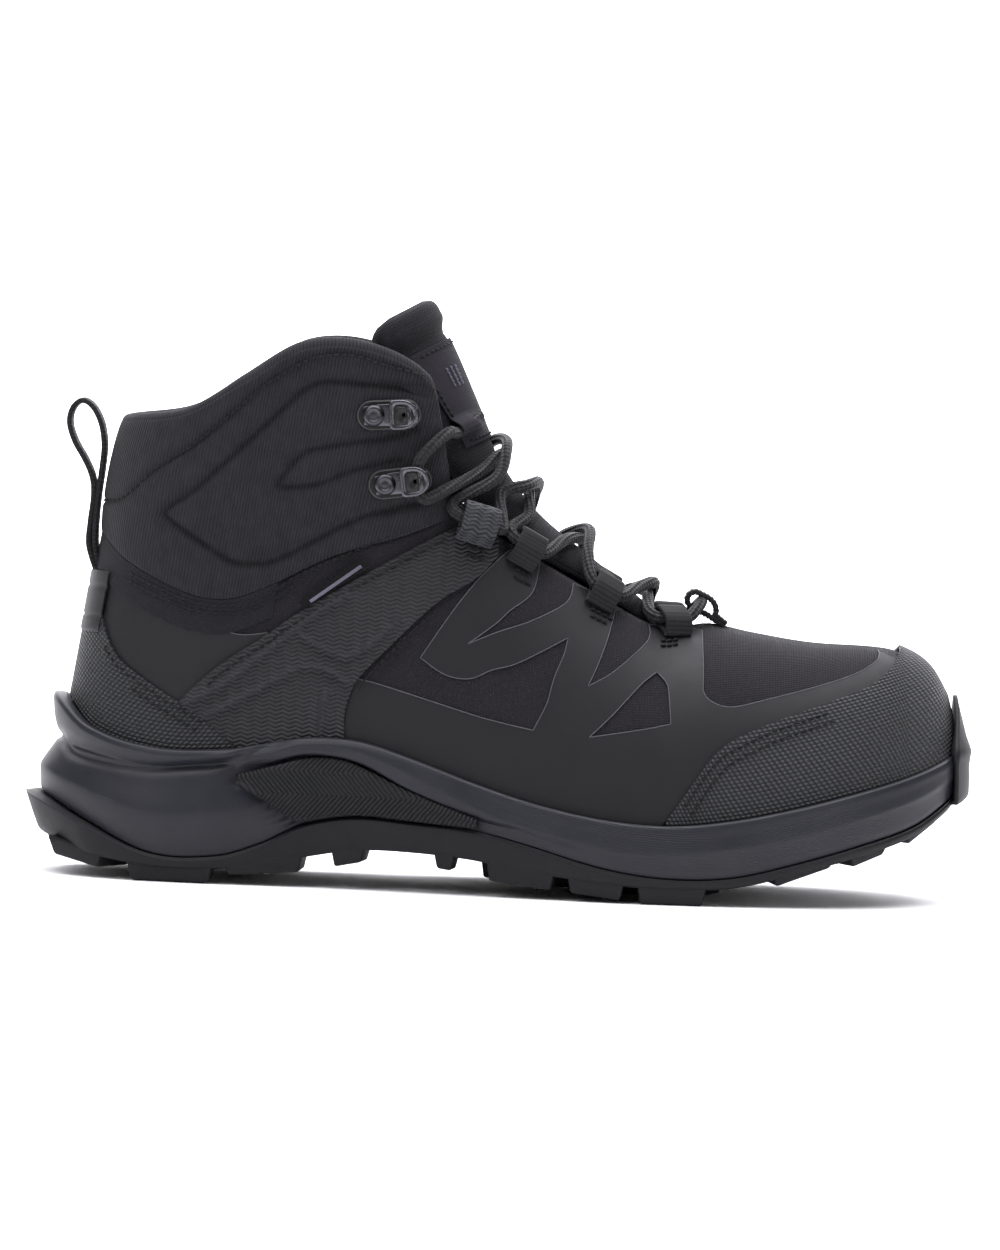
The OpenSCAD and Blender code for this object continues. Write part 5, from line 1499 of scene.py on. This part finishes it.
for side, word in ((LATERAL, "lateral"), (MEDIAL, "medial")):
    for place, x, z, y, tilt in HOOKS:
        c, d = math.cos(math.radians(tilt)), math.sin(math.radians(tilt))
        axes = np.array([[c, 0, d], [-d if side == LATERAL else d, 0, c if side == LATERAL else -c],
                         [0, side, 0]])
        place_of = lambda p: np.array([x, side * y, z]) + np.asarray(p) @ axes
        node = "%s_%s" % (word, place)
        grow = [0, 0.25, 0.35, 0.25, -0.1, -0.35]
        heights = [0, 0.1, 0.35, 0.75, 0.98, 1.0]
        body = layers([slot_outline(PLATE_BACK, PLATE_FRONT, PLATE_R + g - 0.3) for g in grow], heights)
        plate = make("plate_" + node, place_of(body[0]), body[1], PLATE, "hook_plate", uv=body[2])
        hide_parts("hook_plate_" + node)
        edge_line = np.column_stack([slot_outline(PLATE_BACK, PLATE_FRONT, PLATE_R - 0.45, 20),
                                     np.full(40, 1.0)])
        edge_line = np.concatenate([edge_line, edge_line[:2]])
        wire = sweep(place_of(edge_line), circle(0.18, 8), first=axes[2])
        make_part("plate_line_" + node, wire, PLATE_EDGE, "hook_plate")
        # The hook: foot under the rivet, turn over the lace, stepped D-shaped lip.
        path = [(-3.2, 1.5), (0, 1.5), (5, 1.5), (9.6, 1.5), (12.0, 2.1), (13.35, 3.3), (13.7, 4.4),
                (13.2, 5.6), (12, 6.6), (10.6, LIP_HEIGHT + 0.65)]
        path = rounded(path, 0.5)
        half = np.interp(path[:, 0], [-3.2, 2, 9, 13.7], [3.0, 3.5, 3.7, 2.9])
        ring = []
        for h in half:
            ring.append(blunt_oval(h, 0.45, 24, 0.4))
        centre = place_of(np.column_stack([path[:, 0], 0 * path[:, 0], path[:, 1]]))
        strip_part = sweep(centre, np.array(ring),
                           ups=np.cross(unit(np.gradient(centre, axis=0)), axes[1]) * -1)
        steps = [(0.1, 0), (0.5, 0.25), (0.5, 0.9), (0.2, 1.15), (-0.6, 1.15), (-0.95, 0.7),
                 (-3.0, 0.5)]
        top_part = layers([d_shape(g) for g, _ in steps], [LIP_HEIGHT + h for _, h in steps])
        both = join_lists([strip_part, (place_of(top_part[0]), top_part[1], top_part[2])])
        hook = make_part("hook_" + node, both, NICKEL, "hook_metal")
        inside = layers([d_shape(g) for g in (-1.0, -1.0, -1.15, -1.75, -1.9, -2.3, -2.5, -3.4)],
                        [LIP_HEIGHT + h for h in (0.3, 0.78, 0.82, 0.82, 1.12, 1.12, 0.86, 0.84)])
        make("hook_recess_" + node, place_of(inside[0]), inside[1], RECESS, "hook_metal", uv=inside[2])
        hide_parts("lace_hook_" + node)
        head = rivet_head(3.5, 1.7, 1.9)
        rivet = make("rivet_head_" + node, place_of(head[0]), head[1], EYELET, "hook_metal", uv=head[2])
        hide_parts("rivet_" + node)

# ---- Pull tab, tag and badge ----
PULL_TAB = [(-133.6, 98), (-136.2, 106), (-135.9, 114), (-135.2, 122), (-135.9, 128), (-138.4, 133.5),
            (-142, 139.5),
            (-143.9, 145.5), (-142.8, 150.4), (-139.8, 152.6), (-136.4, 150.6), (-133.6, 145.4),
            (-132.4, 138.5),
            (-132.8, 131), (-133.6, 123.5), (-134.2, 115), (-134.2, 106), (-132.4, 98)]
path = rounded(PULL_TAB, 1.0)
centre = np.stack([path[:, 0], 0 * path[:, 0], path[:, 1]], -1)
ring = blunt_oval(7.4, 0.95, 48)
tab = sweep(centre, ring, ups=np.cross(unit(np.gradient(centre, axis=0)), np.array([0, 1.0, 0])))
pull = make("pull_loop", *tab[:2], WEBBING, "webbing", "heel_loop",
            uv=np.stack([tab[2][:, 0], np.tile(ring[:, 0], len(centre))], -1))
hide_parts("pull_tab")

TAG = [(-67, 91), (-67, 91), (-57, 98.6), (-47, 106), (-47, 106), (-44.6, 103.5), (-44.6, 103.5),
       (-54, 97), (-64.5, 90), (-64.5, 90)]
tag = drape_sheet("side_tag_cloth", rounded(TAG, 2, True), LATERAL, 2.6, TAG_CLOTH, "tag", cell=2)
thicken(tag, 0.7, 0.15, 1)
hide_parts("side_tag")
TAG_STRIPE = [(-63.4, 91.9), (-63.4, 91.9), (-47.4, 103.9), (-47.4, 103.9), (-46.6, 103.1),
              (-46.6, 103.1), (-62.6, 91.1),
              (-62.6, 91.1)]
stripe = drape_sheet("side_tag_stripe", rounded(TAG_STRIPE, 2, True), LATERAL, 2.78, MARK, "tag",
                     cell=2)
thicken(stripe, 0.15)
side, s = wrap(0.09, 24)
points, _ = skin_grid(side, s, t_at(s, 78), t_at(s, 98), 24,
                      lambda side, s, t, p: 1.9 - 0.4
                      * (np.abs(np.sin((p[..., 2] - 78) * np.pi / 5)) < 0.2))
badge = make("heel_badge_moulded", points, grid_faces(*points.shape[:2]), BADGE, "overlay",
             uv=weave_uv(points))
thicken(badge, 0.7, 0.2, 1)
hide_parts("heel_badge")

# ---- Stitching ----
both_sides = []
for side in (LATERAL, MEDIAL):
    both_sides += [(side, [(x - 1.6, z - 1.2) for x, z in HEEL_EDGE[4:-1]], 1.45),
                   (side, [(x - 3.6, z - 3.4) for x, z in HEEL_EDGE[6:-1]], 1.45)]
    toe_line = [(58.5, 30), (64, 39), (70, 46.5), (77, 50.8), (88, 56), (106, 62.2)]
    both_sides += [(side, toe_line, 1.45), (side, [(x + 2.2, z - 2.4) for x, z in toe_line], 1.45)]
stitches("cap_stitches", both_sides, THREAD, "overlay")
rows = []
for side in (LATERAL, MEDIAL):
    rows.append((side, [(x, z - 1.6) for x, z in SEAM_LINE[2:]], 0.8))
    rows.append((side, [(x, z - 4.2) for x, z in SEAM_LINE[2:-4]], 0.8))
    rows.append((side, [(-96, 62.5), (-90, 68.2), (-77, 77.4), (-67, 84.8), (-52, 94.6), (-32, 106.6),
                        (-20, 113.6)], 1.9))
    rows.append((side, [(-46.5, 63), (-43.5, 68), (-31, 81.8), (-22, 90.6)], 1.9))
stitches("upper_stitches", rows, THREAD, "upper_fabric")
stitches("collar_stitches", [(side, RIM_STITCH, 1.75) for side in (LATERAL, MEDIAL)], THREAD,
         "softshell")

# Nodes of the frame that stay: stiffeners sealed inside the boot.
for node, material, slot in (("shank", STEEL, "steel"), ("insole_board", BOARD, "board"),
                             ("heel_counter", BOARD, "board"),
                             ("toe_puff", BOARD, "board")):
    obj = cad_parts[node]
    obj.data.materials.clear()
    obj.data.materials.append(material)

# ---- Floor and light ----

def stage_piece(name, verts, faces, material):
    mesh = bpy.data.meshes.new(name)
    mesh.from_pydata(verts, [], faces)
    mesh.materials.append(material)
    for p in mesh.polygons:
        p.use_smooth = True
    obj = bpy.data.objects.new(name, mesh)
    bpy.context.scene.collection.objects.link(obj)
    return obj


WHITE = Graph("studio_white", (250, 250, 250), 0.9, Specular_IOR_Level=0.0, own=1.0).mat
profile = [(-6, 0), (3.3, 0)] + [(3.3 + 1.2 * math.sin(a), 1.2 - 1.2 * math.cos(a))
                                 for a in np.linspace(0.1, math.pi / 2, 12)] + [(4.5, 6)]
sweep_floor = stage_piece("floor", [(x, y, z) for y, z in profile for x in (-6, 6)],
                          [(2 * i, 2 * i + 1, 2 * i + 3, 2 * i + 2) for i in range(len(profile) - 1)],
                          WHITE)
sweep_floor.location.z = float(cad_box[0][2]) - 0.0002


COOL = (0.965, 0.955, 1.0)


def area_light(name, place, aim, size, power):
    light = bpy.data.lights.new(name, "AREA")
    light.shape = "RECTANGLE"
    light.size, light.size_y = size
    light.energy = power
    light.color = COOL
    obj = bpy.data.objects.new(name, light)
    bpy.context.scene.collection.objects.link(obj)
    obj.location = place
    obj.rotation_mode = "QUATERNION"
    obj.rotation_quaternion = (Vector(aim) - Vector(place)).to_track_quat("-Z", "Y")
    return obj


area_light("top", (0, -0.2, 2.0), (0, 0, 0), (2.4, 2.0), 90)
area_light("key", (-0.9, -1.3, 1.1), (0, 0, 0.08), (0.7, 0.7), 7)
area_light("front", (1.2, -1.4, 0.5), (0, 0, 0.07), (0.5, 0.9), 3.5)
area_light("backdrop", (0, 2.2, 3.2), (0, 4.5, 0.7), (6.0, 1.2), 560)
world = bpy.data.worlds.new("studio")
bpy.context.scene.world = world
world.use_nodes = True
world.node_tree.nodes["Background"].inputs[0].default_value = (1, 1, 1, 1)
world.node_tree.nodes["Background"].inputs[1].default_value = 0.22
bpy.context.scene.view_settings.view_transform = "Standard"
